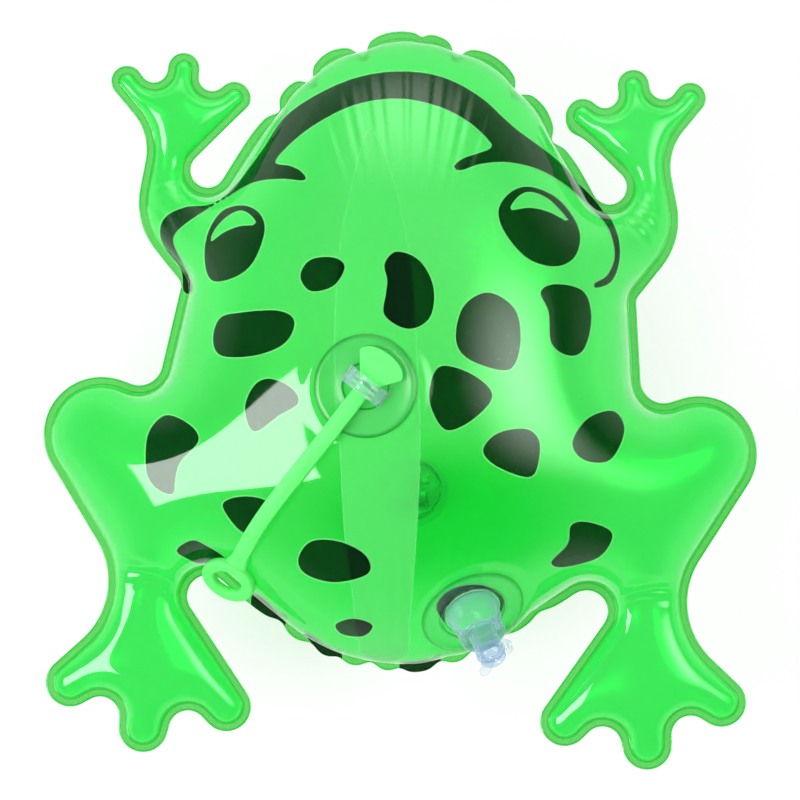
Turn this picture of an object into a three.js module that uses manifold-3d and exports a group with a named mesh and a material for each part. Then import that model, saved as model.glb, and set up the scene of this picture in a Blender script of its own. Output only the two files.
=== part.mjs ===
// Inflatable frog toy: two heat welded vinyl panels blown up into a squat frog that lies on its belly.
// A moulded anchor on its back holds a stretch strap with a finger ring, a push-in valve sits near
// the rear weld, and a flashing light sits in a pocket welded to the inside of the belly.
// Millimetres, +Z up, head towards +Y. The origin is under the middle of the frog, on its resting surface.

import * as THREE from 'three';
import { mergeVertices } from 'three/addons/utils/BufferGeometryUtils.js';
import Module from 'manifold-3d';

const wasm = await Module();
wasm.setup();

// Fits between pieces
const FIT = 0.3; // gap between a seated piece and its seat
const SLIDE_FIT = 0.4; // gap around a piece that slides
const PAD_MARGIN = 1; // flat film around the edge of a fitting

// Vinyl panels
const FILM = 0.3; // thickness of the film
const WELD_WIDTH = 3.3; // flat welded rim around the whole frog
const WELD_GAP = 0.1; // between the two rims
const CROWN = 58; // how high each panel swells over the weld
const BELLY_FLAT = 2; // how deep the belly is pressed flat where it rests

// Outline in plan, as round ends and the valleys between them
const HEAD_RADIUS = 63.5;
const HEAD_FORWARD = 78; // head disc's centre ahead of the middle
const HEAD_ASIDE = 2.4; // and to its right
const REAR_RADIUS = 72.7;
const REAR_BACK = 33.8; // rear disc's centre behind the middle
const FINGER_RADIUS = 6;
const FINGER_REACH = 30.9; // wrist to the middle of a fingertip
const FINGER_SPREAD = 42.5; // degrees between fingers
const FINGER_VALLEY_REACH = 31.3;
const FINGER_VALLEY_RADIUS = 5.5;
const HAND_LEAN = 8.5; // degrees the hand leans towards the head
const ARMPIT_RADIUS = 6.7;
const WRIST_VALLEY_RADIUS = 7.7;
const ELBOW_RADIUS = 11.2;
const FLANK_VALLEY_RADIUS = 4.2;
const HIP_VALLEY_RADIUS = 9;
const THIGH_RADIUS = 22.3;
const ANKLE_VALLEY_RADIUS = 30;
const ANKLE_WIDTH = 30.5;
const TOE_RADIUS = 9.4;
const TOE_REACH = 42.2; // heel to the middle of a toe tip
const TOE_SPREAD = 46; // degrees between toes
const TOE_VALLEY_REACH = 43.8;
const TOE_VALLEY_RADIUS = 7.4;
const FOOT_LEAN = 7; // degrees the foot turns out
const CROTCH_RADIUS = 8.1;

// Where the limbs sit, measured outwards and forwards from the middle of the frog
const LEFT_WRIST = [88, 96.5];
const RIGHT_WRIST = [94, 90];
const LEFT_THIGH = [115, -13.8];
const RIGHT_THIGH = [114.6, -21.2];
const LEFT_LEG_TURN = 2; // degrees the whole leg swings out
const RIGHT_LEG_TURN = 0;

// Where a limb's valleys and joints sit, outwards and forwards from its wrist or thigh
const ARMPIT = [-13.8, -8.5];
const WRIST_VALLEY = [19.2, 1.2];
const ELBOW = [2.7, -20.4];
const FLANK_VALLEY = [0.7, -53];
const HIP_VALLEY = [-13.5, 28.5];
const ANKLE = [-19.7, -57];
const HEEL = [-25, -70];
const CROTCH_BACK = 3.5; // crotch behind the ankle
const VALLEY_ROOM = 0.97; // share of the room between its walls that a valley may fill

// Strap anchor on the back
const ANCHOR_X = -12.8;
const ANCHOR_Y = 4.7;
const ANCHOR_RADIUS = 19;
const ANCHOR_HOLE = 8; // radius
const ANCHOR_THICKNESS = 1.2;
const BRIDGE_TURN = -37; // degrees the bridge's long side turns from +X
const BRIDGE_WIDTH = 7.4;
const BRIDGE_WALL = 1.5;
const BRIDGE_FOOT = 1.4; // how far each foot of the bridge stands on the disc

// Strap, tail and finger ring
const STRAP_WIDTH = 5.6;
const STRAP_THICKNESS = 3;
const STRAP_STEPS = 16;
const TAIL_ROOT = 4.5; // radius where the fan starts
const TAIL_LENGTH = 13;
const TAIL_SPREAD = 37; // degrees from its middle line to a side
const TAIL_THICKNESS = 2.2;
const RING_RADIUS = 8.6; // to the middle of the ring's section
const RING_WALL = 3.8; // across the section, outwards
const RING_HEIGHT = 4.2; // across the section, along the finger
const RING_TILT = 50; // degrees the ring leans down the flank
const RING_HEADING = -119; // degrees in plan from +X to the way the strap runs there

// The strap's way in plan from the bridge down the flank, and how high its middle lies over the film
const STRAP_ROUTE = [
  [-12.9, 4.6, 3.65],
  [-16, 0.5, 3.65],
  [-19.2, -3.6, 3.7],
  [-22.3, -7.6, 3.7],
  [-25.3, -11.6, 3.65],
  [-30.2, -17.7, 3.1],
  [-35.1, -23.8, 2.75],
  [-40.9, -31, 2.8],
  [-46.6, -38.3, 2.9],
  [-49.3, -41.9, 2.95],
  [-51.9, -45.6, 3.05],
  [-54.5, -49.6, 3.2],
  [-56.9, -53.7, 3.5],
  [-58.9, -57.1, 4.3],
  [-60.7, -60.5, 5.4],
  [-61.6, -62.1, 5.6],
];

// Push-in valve
const VALVE_X = 26.8;
const VALVE_Y = -79.5;
const FLANGE_RADIUS = 20;
const FLANGE_THICKNESS = 1.1;
const FLANGE_RECESS = 12.6; // radius of the shallow recess around the stem
const RECESS_DEPTH = 0.5;
const STEM_BASE_RADIUS = 10.4;
const STEM_TOP_RADIUS = 8;
const STEM_HEIGHT = 13;
const STEM_WALL = 1.2;
const NECK_RADIUS = 5.2;
const NECK_BORE = 3.7; // radius
const NECK_HEIGHT = 9;
const PLUG_SHANK = 8; // length in the neck
const CAP_RADIUS = 5;
const CAP_HEIGHT = 3.2;
const CAP_DIMPLE = 1.6; // radius
const CAP_ROUND = 0.7; // rounding of the cap's edge
const TAB_TURN = -105; // degrees from +X
const TETHER_TURN = 25; // degrees from +X
const TAB_WIDTH = 4.6;
const TAB_LENGTH = 4;
const TAB_THICKNESS = 1.4;
const TETHER_WIDTH = 2.8;
const TETHER_THICKNESS = 1.1;
const TETHER_BOW = 2.8; // how far the tether stands off the neck
const FLAP_THICKNESS = 0.8;
const FLAP_LAP = 0.6; // how far the flap laps over the stem's end

// Flashing light in its pocket
const POCKET_X = 4.8;
const POCKET_Y = -37.5;
const POCKET_RADIUS = 11.7;
const POCKET_HEIGHT = 13.5;
const POCKET_LIP = 2.4; // width of the lip welded to the film
const POCKET_WALL = 0.5;
const BOARD_RADIUS = 9.8;
const BOARD_THICKNESS = 1;
const DOME_STEPS = 4;
const CELL_RADIUS = 3.95;
const CELL_HEIGHT = 3.6;
const CELL_COUNT = 3;
const CELL_STEP = 0.5; // step at the cell's pole
const CONTACT_THICKNESS = 0.4;
const CONTACT_WIDTH = 4;
const LED_RADIUS = 1.5;
const LED_FLANGE_RADIUS = 1.9;
const LED_HEIGHT = 5.2;
const LED_PITCH = 10;
const LED_ROW = 3.8;
const LED_SIDES = 16;
const CHIP_RADIUS = 1.6;
const CHIP_TAPER = 0.8; // radius at the drop's shoulder as a share of its foot
const CHIP_HEIGHT = 0.8;
const CHIP_ROW = 2;
const SPRING_RADIUS = 1.1; // to the middle of the wire
const SPRING_WIRE = 0.4; // across the wire
const SPRING_TURNS = 6;
const SPRING_PITCH = 0.85;
const SPRING_ROW = 6.3;
const TURN_STEPS = 8; // edges in one turn of the spring
const POST_RADIUS = 0.35;
const POST_END = 1.2; // how far the post runs on past the spring before it bends down
const WIRE_SIDES = 6;

// Mesh steps
const EDGE_STEP = 8; // longest edge along the outline
const ARC_STEP = 42; // largest turn of one edge along the outline, degrees
const EDGE_RING = 4.2; // first row of points inside the weld
const GRID_STEP = 12.5; // rows of points over the trunk
const LIMB_STEP = 8; // rows of points over the limbs
const PAD_SIDES = 20; // corners of a flat pad under a fitting
const ROUND_SIDES = 24; // sides of turned pieces
const WELD_ROOM = 1.8; // least way from a weld edge to a point over the film
const WELD_SHARE = 0.6; // the same as a share of that edge's length
const POINT_SHARE = 0.6; // least way between points as a share of their row step
const SOLVER_ROUNDS = 250;
const SOLVER_PUSH = 1.7;

const radians = THREE.MathUtils.degToRad;
const heading = (degrees) => new THREE.Vector2(Math.cos(radians(degrees)), Math.sin(radians(degrees)));

// Outline

const disc = (x, y, radius) => ({ centre: new THREE.Vector2(x, y), radius });

const FINGERS = {
  spread: FINGER_SPREAD,
  reach: FINGER_REACH,
  radius: FINGER_RADIUS,
  valleyReach: FINGER_VALLEY_REACH,
  valleyRadius: FINGER_VALLEY_RADIUS,
};
const TOES = {
  spread: TOE_SPREAD,
  reach: TOE_REACH,
  radius: TOE_RADIUS,
  valleyReach: TOE_VALLEY_REACH,
  valleyRadius: TOE_VALLEY_RADIUS,
};

// Three fingers or toes spread like a fan, with the valleys between them, from the inner to the outer one.
function paw([x, y], forward, lean, { spread, reach, radius, valleyReach, valleyRadius }) {
  const spoke = (turns, length, size) => {
    const angle = radians(lean + turns * spread);
    return disc(x - length * Math.sin(angle), y + forward * length * Math.cos(angle), size);
  };
  return [
    spoke(1, reach, radius),
    spoke(0.5, valleyReach, -valleyRadius),
    spoke(0, reach, radius),
    spoke(-0.5, valleyReach, -valleyRadius),
    spoke(-1, reach, radius),
  ];
}

// One arm around its wrist, from the armpit by the head to the flank.
function armDiscs(wrist) {
  const at = ([x, y], radius) => disc(wrist[0] + x, wrist[1] + y, radius);
  return [
    at(ARMPIT, -ARMPIT_RADIUS),
    ...paw(wrist, 1, HAND_LEAN, FINGERS),
    at(WRIST_VALLEY, -WRIST_VALLEY_RADIUS),
    at(ELBOW, ELBOW_RADIUS),
    at(FLANK_VALLEY, -FLANK_VALLEY_RADIUS),
  ];
}

// One hind leg around its thigh, from the hip to the crotch, swung out by a turn.
function legDiscs([x, y], turn) {
  const [ankleX, ankleY] = ANKLE;
  const discs = [
    disc(...HIP_VALLEY, -HIP_VALLEY_RADIUS),
    disc(0, 0, THIGH_RADIUS),
    disc(ankleX + ANKLE_WIDTH / 2 + ANKLE_VALLEY_RADIUS, ankleY, -ANKLE_VALLEY_RADIUS),
    ...paw(HEEL, -1, -FOOT_LEAN, TOES).reverse(),
    disc(ankleX - ANKLE_WIDTH / 2 - CROTCH_RADIUS, ankleY - CROTCH_BACK, -CROTCH_RADIUS),
  ];
  const origin = new THREE.Vector2();
  discs.forEach(({ centre }) => centre.rotateAround(origin, radians(turn)).add(new THREE.Vector2(x, y)));
  return discs;
}

// A valley is a fillet, so its walls limit its radius.
function fillet(discs) {
  return discs.map((own, index) => {
    if (own.radius > 0) return own;
    const beside = [discs.at(index - 1), discs[(index + 1) % discs.length]];
    const room = beside
      .filter((other) => other.radius > 0)
      .map((other) => VALLEY_ROOM * (other.centre.distanceTo(own.centre) - other.radius));
    return { centre: own.centre, radius: -Math.min(-own.radius, ...room) };
  });
}

function outlineDiscs() {
  const left = [...armDiscs(LEFT_WRIST), ...legDiscs(LEFT_THIGH, LEFT_LEG_TURN)];
  const right = [...armDiscs(RIGHT_WRIST), ...legDiscs(RIGHT_THIGH, RIGHT_LEG_TURN)];
  left.forEach(({ centre }) => centre.setX(-centre.x));
  return fillet([
    disc(HEAD_ASIDE, HEAD_FORWARD, HEAD_RADIUS),
    ...left,
    disc(0, -REAR_BACK, REAR_RADIUS),
    ...right.reverse(),
  ]);
}

const OUTLINE = outlineDiscs();

// The belt around the outline's discs, drawn in by an inset, with the same points at every inset.
function outlineLoop(inset) {
  const lines = OUTLINE.map((from, index) => {
    const to = OUTLINE[(index + 1) % OUTLINE.length];
    const across = to.centre.clone().sub(from.centre);
    const angle = across.angle() - Math.asin((to.radius - from.radius) / across.length());
    const normal = new THREE.Vector2(-Math.sin(angle), Math.cos(angle));
    const ends = [from, to].map((one) => one.centre.clone().addScaledVector(normal, inset - one.radius));
    return { angle, ends };
  });
  const loop = [];
  OUTLINE.forEach((own, index) => {
    const arriving = lines.at(index - 1);
    const leaving = lines[index];
    const way = Math.sign(own.radius);
    const turn = THREE.MathUtils.euclideanModulo(way * (leaving.angle - arriving.angle), 2 * Math.PI);
    const arcEdges = Math.max(
      Math.ceil(turn / radians(ARC_STEP)),
      Math.ceil((turn * Math.abs(own.radius)) / EDGE_STEP),
    );
    for (let step = 0; step <= arcEdges; step++) {
      const angle = arriving.angle + (way * turn * step) / arcEdges - Math.PI / 2;
      const spoke = new THREE.Vector2(Math.cos(angle), Math.sin(angle));
      loop.push(own.centre.clone().addScaledVector(spoke, own.radius - inset));
    }
    const [start, end] = leaving.ends;
    const lineEdges = Math.ceil(start.distanceTo(end) / EDGE_STEP);
    for (let step = 1; step < lineEdges; step++) loop.push(start.clone().lerp(end, step / lineEdges));
  });
  return loop;
}

const EDGE = outlineLoop(0);
const WELD = outlineLoop(WELD_WIDTH);

// Plan mesh and swelling

function isInside(point, polygon) {
  let inside = false;
  polygon.forEach((a, index) => {
    const b = polygon.at(index - 1);
    const crosses = (a.y > point.y) !== (b.y > point.y);
    if (crosses && point.x < a.x + ((b.x - a.x) * (point.y - a.y)) / (b.y - a.y)) inside = !inside;
  });
  return inside;
}

function circumscribed(points, a, b, c) {
  const [p, q, r] = [points[a], points[b], points[c]];
  const u = q.clone().sub(p);
  const v = r.clone().sub(p);
  const twice = 2 * u.cross(v);
  const centre = new THREE.Vector2(
    (v.y * u.lengthSq() - u.y * v.lengthSq()) / twice,
    (u.x * v.lengthSq() - v.x * u.lengthSq()) / twice,
  );
  const reach = centre.lengthSq() * (1 - 1e-9);
  return { corners: twice > 0 ? [a, b, c] : [a, c, b], centre: centre.add(p), reach };
}

// Delaunay triangles of points in plan, added one by one inside one large triangle.
function triangulate(points) {
  const far = 1e4;
  const corners = [new THREE.Vector2(-far, -far), new THREE.Vector2(far, -far), new THREE.Vector2(0, far)];
  const all = [...points, ...corners];
  const count = points.length;
  let triangles = [circumscribed(all, count, count + 1, count + 2)];
  points.forEach((point, index) => {
    const rim = new Map();
    triangles = triangles.filter(({ corners: [a, b, c], centre, reach }) => {
      if (centre.distanceToSquared(point) >= reach) return true;
      [[a, b], [b, c], [c, a]].forEach(([from, to]) => {
        if (!rim.delete(`${to} ${from}`)) rim.set(`${from} ${to}`, [from, to]);
      });
      return false;
    });
    rim.forEach(([from, to]) => triangles.push(circumscribed(all, from, to, index)));
  });
  return triangles.map((one) => one.corners).filter((ids) => ids.every((id) => id < count));
}

// Points over a panel: round each pad, down each finger, along the weld, then rows over the rest.
function panelPoints(pads) {
  const points = [];
  const add = (point, room) => {
    const clearOfWeld = WELD.every((a, index) => {
      const b = WELD.at(index - 1);
      const middle = a.clone().add(b).multiplyScalar(0.5);
      return middle.distanceTo(point) > Math.max(WELD_SHARE * a.distanceTo(b), WELD_ROOM);
    });
    const clearOfPads = pads.every((pad) => !pad.covers(point));
    const clearOfPoints = points.every((other) => other.distanceTo(point) > room);
    if (clearOfWeld && clearOfPads && clearOfPoints && isInside(point, WELD)) points.push(point);
  };
  pads.forEach((pad) => points.push(...pad.points));
  OUTLINE.filter(({ radius }) => radius > 0 && radius < THIGH_RADIUS)
    .forEach(({ centre, radius }) => add(centre.clone(), radius / 2));
  outlineLoop(WELD_WIDTH + EDGE_RING).forEach((point) => add(point, POINT_SHARE * EDGE_STEP));
  const box = new THREE.Box2().setFromPoints(WELD);
  const addRows = (step, isWanted) => {
    const rowStep = step * Math.sin(radians(60));
    for (let row = 0; box.min.y + row * rowStep < box.max.y; row++) {
      for (let x = box.min.x + ((row % 2) * step) / 2; x < box.max.x; x += step) {
        const point = new THREE.Vector2(x, box.min.y + row * rowStep);
        if (isWanted(point)) add(point, POINT_SHARE * step);
      }
    }
  };
  const isTrunk = (point) => {
    const ahead = THREE.MathUtils.clamp(point.y, -REAR_BACK, HEAD_FORWARD);
    return point.distanceTo(new THREE.Vector2(0, ahead)) < REAR_RADIUS + WELD_WIDTH;
  };
  addRows(LIMB_STEP, (point) => !isTrunk(point));
  addRows(GRID_STEP, isTrunk);
  return points;
}

// How far a film held at its weld bulges under even pressure: the square root gives the round side of a tube.
function swell(points, triangles, heldCount) {
  const links = points.map(() => new Map());
  const load = points.map(() => 0);
  triangles.forEach((ids) => {
    ids.forEach((a, corner) => {
      const b = ids[(corner + 1) % 3];
      const c = ids[(corner + 2) % 3];
      const u = points[a].clone().sub(points[c]);
      const v = points[b].clone().sub(points[c]);
      const weight = u.dot(v) / u.cross(v) / 2;
      links[a].set(b, (links[a].get(b) ?? 0) + weight);
      links[b].set(a, (links[b].get(a) ?? 0) + weight);
      load[a] += u.cross(v) / 6;
    });
  });
  const bulge = points.map(() => 0);
  for (let round = 0; round < SOLVER_ROUNDS; round++) {
    for (let own = heldCount; own < points.length; own++) {
      let pull = load[own];
      let total = 0;
      links[own].forEach((weight, other) => {
        pull += weight * bulge[other];
        total += weight;
      });
      if (total > 0) bulge[own] += SOLVER_PUSH * (pull / total - bulge[own]);
    }
  }
  const top = bulge.reduce((highest, value) => Math.max(highest, value), 0);
  return bulge.map((value) => CROWN * Math.sqrt(Math.max(value, 0) / top));
}

// One panel's middle part: its points in plan, its triangles and the height of each point over the weld.
function inflate(pads) {
  const points = [...WELD, ...panelPoints(pads)];
  const all = triangulate(points);
  const insideWeld = all.filter((ids) => isInside(middleOf(ids, points), WELD));
  const heights = swell(points, insideWeld, WELD.length);
  pads.forEach((pad) => points.forEach((point, index) => {
    if (pad.covers(point)) heights[index] = pad.heightAt(point);
  }));
  const triangles = insideWeld.filter((ids) => !pads.some((pad) => pad.opens(middleOf(ids, points))));
  return { points, triangles, heights };
}

function middleOf(ids, points) {
  const middle = new THREE.Vector2();
  ids.forEach((id) => middle.add(points[id]));
  return middle.divideScalar(ids.length);
}

// Height of an inflated panel over any place in plan.
function heightOver({ points, triangles, heights }, place) {
  for (const ids of triangles) {
    const [a, b, c] = ids.map((id) => points[id]);
    const area = b.clone().sub(a).cross(c.clone().sub(a));
    const shareB = place.clone().sub(a).cross(c.clone().sub(a)) / area;
    const shareC = b.clone().sub(a).cross(place.clone().sub(a)) / area;
    if (shareB >= 0 && shareC >= 0 && shareB + shareC <= 1) {
      return heights[ids[0]] * (1 - shareB - shareC) + heights[ids[1]] * shareB + heights[ids[2]] * shareC;
    }
  }
  return 0;
}

// A flat round pad that a stiff fitting presses into a panel, with an opening in it where hole is over 0.
function pressedPad(panel, x, y, radius, hole) {
  const centre = new THREE.Vector2(x, y);
  const ringAt = (size, slope) => {
    const steep = slope.length();
    const down = steep > 0 ? slope.clone().divideScalar(steep) : new THREE.Vector2(1, 0);
    const side = new THREE.Vector2(-down.y, down.x);
    const shrink = 1 / Math.hypot(1, steep);
    return Array.from({ length: PAD_SIDES }, (_, index) => {
      const spoke = heading((360 * index) / PAD_SIDES).multiplyScalar(size);
      return centre.clone().addScaledVector(down, spoke.x * shrink).addScaledVector(side, spoke.y);
    });
  };
  const slopeOver = (ring) => {
    const slope = new THREE.Vector2();
    let spread = 0;
    ring.forEach((point) => {
      const offset = point.clone().sub(centre);
      slope.addScaledVector(offset, heightOver(panel, point));
      spread += offset.lengthSq() / 2;
    });
    return slope.divideScalar(spread);
  };
  const slope = slopeOver(ringAt(radius / 2, new THREE.Vector2()));
  const ring = ringAt(radius, slope);
  const total = ring.reduce((sum, point) => sum + heightOver(panel, point), 0);
  const height = (total / PAD_SIDES + heightOver(panel, centre)) / 2;
  const stretched = (point) => {
    const offset = point.clone().sub(centre);
    const rise = offset.dot(slope);
    return Math.sqrt(offset.lengthSq() + rise * rise);
  };
  return {
    points: [centre, ...ring, ...(hole > 0 ? ringAt(hole, slope) : ringAt(radius / 2, slope))],
    covers: (point) => stretched(point) < radius + FIT,
    opens: (point) => stretched(point) < hole,
    heightAt: (point) => height + point.clone().sub(centre).dot(slope),
    centre: new THREE.Vector3(x, y, height),
    normal: new THREE.Vector3(-slope.x, -slope.y, 1).normalize(),
  };
}

// Geometry helpers

function meshFrom(vertices, indices) {
  const geometry = new THREE.BufferGeometry();
  const positions = vertices.flatMap((v) => [v.x, v.y, v.z]);
  geometry.setAttribute('position', new THREE.Float32BufferAttribute(positions, 3));
  geometry.setIndex(indices.flat());
  return geometry;
}

// A film panel as a closed shell: the flat welded rim, the swollen middle and the film's thickness.
function filmShell({ points, triangles, heights }, facing) {
  const count = WELD.length;
  const plan = [...points, ...EDGE];
  const rise = [...heights, ...EDGE.map(() => 0)];
  const faces = [...triangles];
  for (let index = 0; index < count; index++) {
    const next = (index + 1) % count;
    const outer = points.length + index;
    const outerNext = points.length + next;
    faces.push([outer, outerNext, next], [outer, next, index]);
  }
  const layer = (lift) => plan.map((p, id) => new THREE.Vector3(p.x, p.y, facing * (lift + rise[id])));
  const vertices = [...layer(WELD_GAP / 2 + FILM), ...layer(WELD_GAP / 2)];
  const inner = plan.length;
  const edges = new Map();
  faces.forEach(([a, b, c]) => [[a, b], [b, c], [c, a]].forEach(([from, to]) => {
    if (!edges.delete(`${to} ${from}`)) edges.set(`${from} ${to}`, [from, to]);
  }));
  const walls = [...edges.values()].flatMap(([a, b]) => [
    [a + inner, b + inner, b],
    [a + inner, b, a],
  ]);
  const shell = [...faces, ...faces.map(([a, b, c]) => [a + inner, c + inner, b + inner]), ...walls];
  return meshFrom(vertices, facing > 0 ? shell : shell.map(([a, b, c]) => [a, c, b]));
}

// A profile of [radius, height] corners turned around +Z.
function turned(profile, sides = ROUND_SIDES) {
  const closed = profile[0][0] > 0 ? [...profile, profile[0]] : profile;
  const geometry = new THREE.LatheGeometry(closed.map(([x, y]) => new THREE.Vector2(x, y)), sides);
  return geometry.rotateX(Math.PI / 2);
}

function extruded(shape, depth, curveSegments = 6) {
  return new THREE.ExtrudeGeometry(shape, { depth, bevelEnabled: false, curveSegments });
}

function toSolid(geometry) {
  const bare = geometry.clone();
  bare.deleteAttribute('normal');
  bare.deleteAttribute('uv');
  const merged = mergeVertices(bare, 1e-4);
  return new wasm.Manifold(new wasm.Mesh({
    numProp: 3,
    vertProperties: new Float32Array(merged.attributes.position.array),
    triVerts: new Uint32Array(merged.index.array),
  }));
}

function fromSolid(solid) {
  const mesh = solid.getMesh();
  const geometry = new THREE.BufferGeometry();
  geometry.setAttribute('position', new THREE.Float32BufferAttribute(mesh.vertProperties, 3));
  geometry.setIndex([...mesh.triVerts]);
  return geometry;
}

const joined = (...geometries) => fromSolid(geometries.map(toSolid).reduce((all, one) => all.add(one)));

const finish = (color, roughness, metalness = 0, opacity = 1) => new THREE.MeshStandardMaterial({
  color, roughness, metalness, opacity, transparent: opacity < 1,
});

function piece(parent, name, geometry, material) {
  const mesh = new THREE.Mesh(geometry, material);
  mesh.name = name;
  parent.add(mesh);
  return mesh;
}

// A group that stands on the back, or inside the belly, at a pad, with its +Z square to the film.
function seatOn(parent, pad, inside) {
  const way = inside ? -1 : 1;
  const skin = WELD_GAP / 2 + (inside ? 0 : FILM);
  const normal = pad.normal.clone().multiply(new THREE.Vector3(way, way, 1));
  const group = new THREE.Group();
  group.position.set(pad.centre.x, pad.centre.y, way * (pad.centre.z + skin)).addScaledVector(normal, FIT);
  group.quaternion.setFromUnitVectors(new THREE.Vector3(0, 0, 1), normal);
  parent.add(group);
  return group;
}

// Finishes
const GREEN_FILM = finish(0x3fe25c, 0.12, 0, 0.7);
const CLEAR_VINYL = finish(0xdce8ee, 0.15, 0, 0.6);
const MILKY_RUBBER = finish(0x7cf58a, 0.45);
const BOARD_GREEN = finish(0x2f6b3a, 0.5);
const STEEL = finish(0xc4c8cc, 0.3, 1);
const BLACK_EPOXY = finish(0x1b1b1b, 0.4);
const LED_LENS = finish(0xf2e8b8, 0.15);

// Panels, with their pads for the fittings
const SEAM_HEIGHT = CROWN - BELLY_FLAT + FILM + WELD_GAP / 2;
const plainPanel = inflate([]);
const anchorPad = pressedPad(plainPanel, ANCHOR_X, ANCHOR_Y, ANCHOR_RADIUS + PAD_MARGIN, 0);
const filmHole = STEM_BASE_RADIUS + SLIDE_FIT + PAD_MARGIN;
const valvePad = pressedPad(plainPanel, VALVE_X, VALVE_Y, FLANGE_RADIUS + PAD_MARGIN, filmHole);
const pocketPad = pressedPad(plainPanel, POCKET_X, POCKET_Y, POCKET_RADIUS + POCKET_LIP + PAD_MARGIN, 0);
const back = inflate([anchorPad, valvePad]);
const belly = inflate([pocketPad]);
belly.heights = belly.heights.map((height) => Math.min(height, CROWN - BELLY_FLAT));

const frog = new THREE.Group();
const body = new THREE.Group();
frog.add(body);
piece(body, 'top_panel', filmShell(back, 1), GREEN_FILM);
piece(body, 'bottom_panel', filmShell(belly, -1), GREEN_FILM);

// Strap anchor: a disc with a hole, and a bridge over the hole that the strap passes under
const anchor = seatOn(body, anchorPad, false);
const bridgeClear = ANCHOR_THICKNESS + STRAP_THICKNESS + 4 * FIT;
const bridgeSpan = ANCHOR_HOLE + BRIDGE_FOOT;

function anchorDisc() {
  return turned([
    [ANCHOR_HOLE, 0],
    [ANCHOR_RADIUS, 0],
    [ANCHOR_RADIUS, ANCHOR_THICKNESS / 2],
    [ANCHOR_RADIUS - ANCHOR_THICKNESS, ANCHOR_THICKNESS],
    [ANCHOR_HOLE, ANCHOR_THICKNESS],
  ]);
}

function bridgeArch() {
  const base = ANCHOR_THICKNESS / 2;
  const arch = new THREE.Shape();
  arch.absellipse(0, base, bridgeSpan, bridgeClear + BRIDGE_WALL - base, 0, Math.PI, false);
  arch.absellipse(0, base, bridgeSpan - BRIDGE_WALL, bridgeClear - base, Math.PI, 0, true);
  const bar = extruded(arch, BRIDGE_WIDTH, 10);
  return bar.translate(0, 0, -BRIDGE_WIDTH / 2).rotateX(Math.PI / 2).rotateZ(radians(BRIDGE_TURN));
}

piece(anchor, 'strap_anchor', joined(anchorDisc(), bridgeArch()), CLEAR_VINYL);

// Strap tail: a flat fan that can't slip back under the bridge
const tailHeading = BRIDGE_TURN + 90;

function tailFan() {
  const spread = radians(TAIL_SPREAD);
  const fan = new THREE.Shape();
  fan.absarc(0, 0, TAIL_ROOT + TAIL_LENGTH, -spread, spread, false);
  fan.absarc(0, 0, TAIL_ROOT, spread, -spread, true);
  const plate = extruded(fan, TAIL_THICKNESS);
  const start = 2 * FIT - TAIL_ROOT * Math.cos(spread);
  return plate.translate(start, 0, ANCHOR_THICKNESS + FIT).rotateZ(radians(tailHeading));
}

piece(anchor, 'strap_tail', tailFan(), MILKY_RUBBER);

// Stretch strap from the bridge, over the disc and down the flank, lying on the film
const strapPoints = STRAP_ROUTE.map(([x, y, lift]) => {
  const film = heightOver(back, new THREE.Vector2(x, y)) + WELD_GAP / 2 + FILM;
  return new THREE.Vector3(x, y, film + lift);
});

function strapBand() {
  const route = new THREE.CatmullRomCurve3(strapPoints);
  const thick = STRAP_THICKNESS / 2;
  const wide = STRAP_WIDTH / 2;
  const round = STRAP_THICKNESS / 4;
  const corners = [
    [thick, wide - round],
    [thick - round, wide],
    [round - thick, wide],
    [-thick, wide - round],
    [-thick, round - wide],
    [round - thick, -wide],
    [thick - round, -wide],
    [thick, round - wide],
  ];
  const section = new THREE.Shape(corners.map(([x, y]) => new THREE.Vector2(x, y)));
  return new THREE.ExtrudeGeometry(section, { steps: STRAP_STEPS, extrudePath: route });
}

piece(body, 'elastic_strap', strapBand(), MILKY_RUBBER);

// Finger ring at the strap's end, leaning on the flank
function ringBand() {
  const half = RING_HEIGHT / 2;
  const wide = RING_WALL / 2;
  const round = RING_WALL / 3;
  return turned([
    [RING_RADIUS + wide - round, -half],
    [RING_RADIUS + wide, round - half],
    [RING_RADIUS + wide, half - round],
    [RING_RADIUS + wide - round, half],
    [RING_RADIUS - wide + round, half],
    [RING_RADIUS - wide, half - round],
    [RING_RADIUS - wide, round - half],
    [RING_RADIUS - wide + round, -half],
  ]);
}

const ringSeat = new THREE.Group();
ringSeat.rotation.set(0, radians(RING_TILT), radians(RING_HEADING), 'ZYX');
ringSeat.position.copy(strapPoints.at(-1));
body.add(ringSeat);
piece(ringSeat, 'finger_ring', ringBand(), MILKY_RUBBER).position.x = RING_RADIUS + RING_WALL / 2 + FIT;

// Valve: a flange on the film, a stem that slides in through it, a plug on a tether and a check flap
const valve = seatOn(body, valvePad, false);
const stemHole = STEM_BASE_RADIUS + SLIDE_FIT;
const neckTop = STEM_HEIGHT + NECK_HEIGHT;
const shoulder = STEM_HEIGHT - STEM_WALL;

piece(valve, 'valve_flange', turned([
  [stemHole, 0],
  [FLANGE_RADIUS, 0],
  [FLANGE_RADIUS, FLANGE_THICKNESS / 2],
  [FLANGE_RADIUS - FLANGE_THICKNESS, FLANGE_THICKNESS],
  [FLANGE_RECESS, FLANGE_THICKNESS],
  [FLANGE_RECESS - RECESS_DEPTH, FLANGE_THICKNESS - RECESS_DEPTH],
  [stemHole, FLANGE_THICKNESS - RECESS_DEPTH],
]), CLEAR_VINYL);

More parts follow.
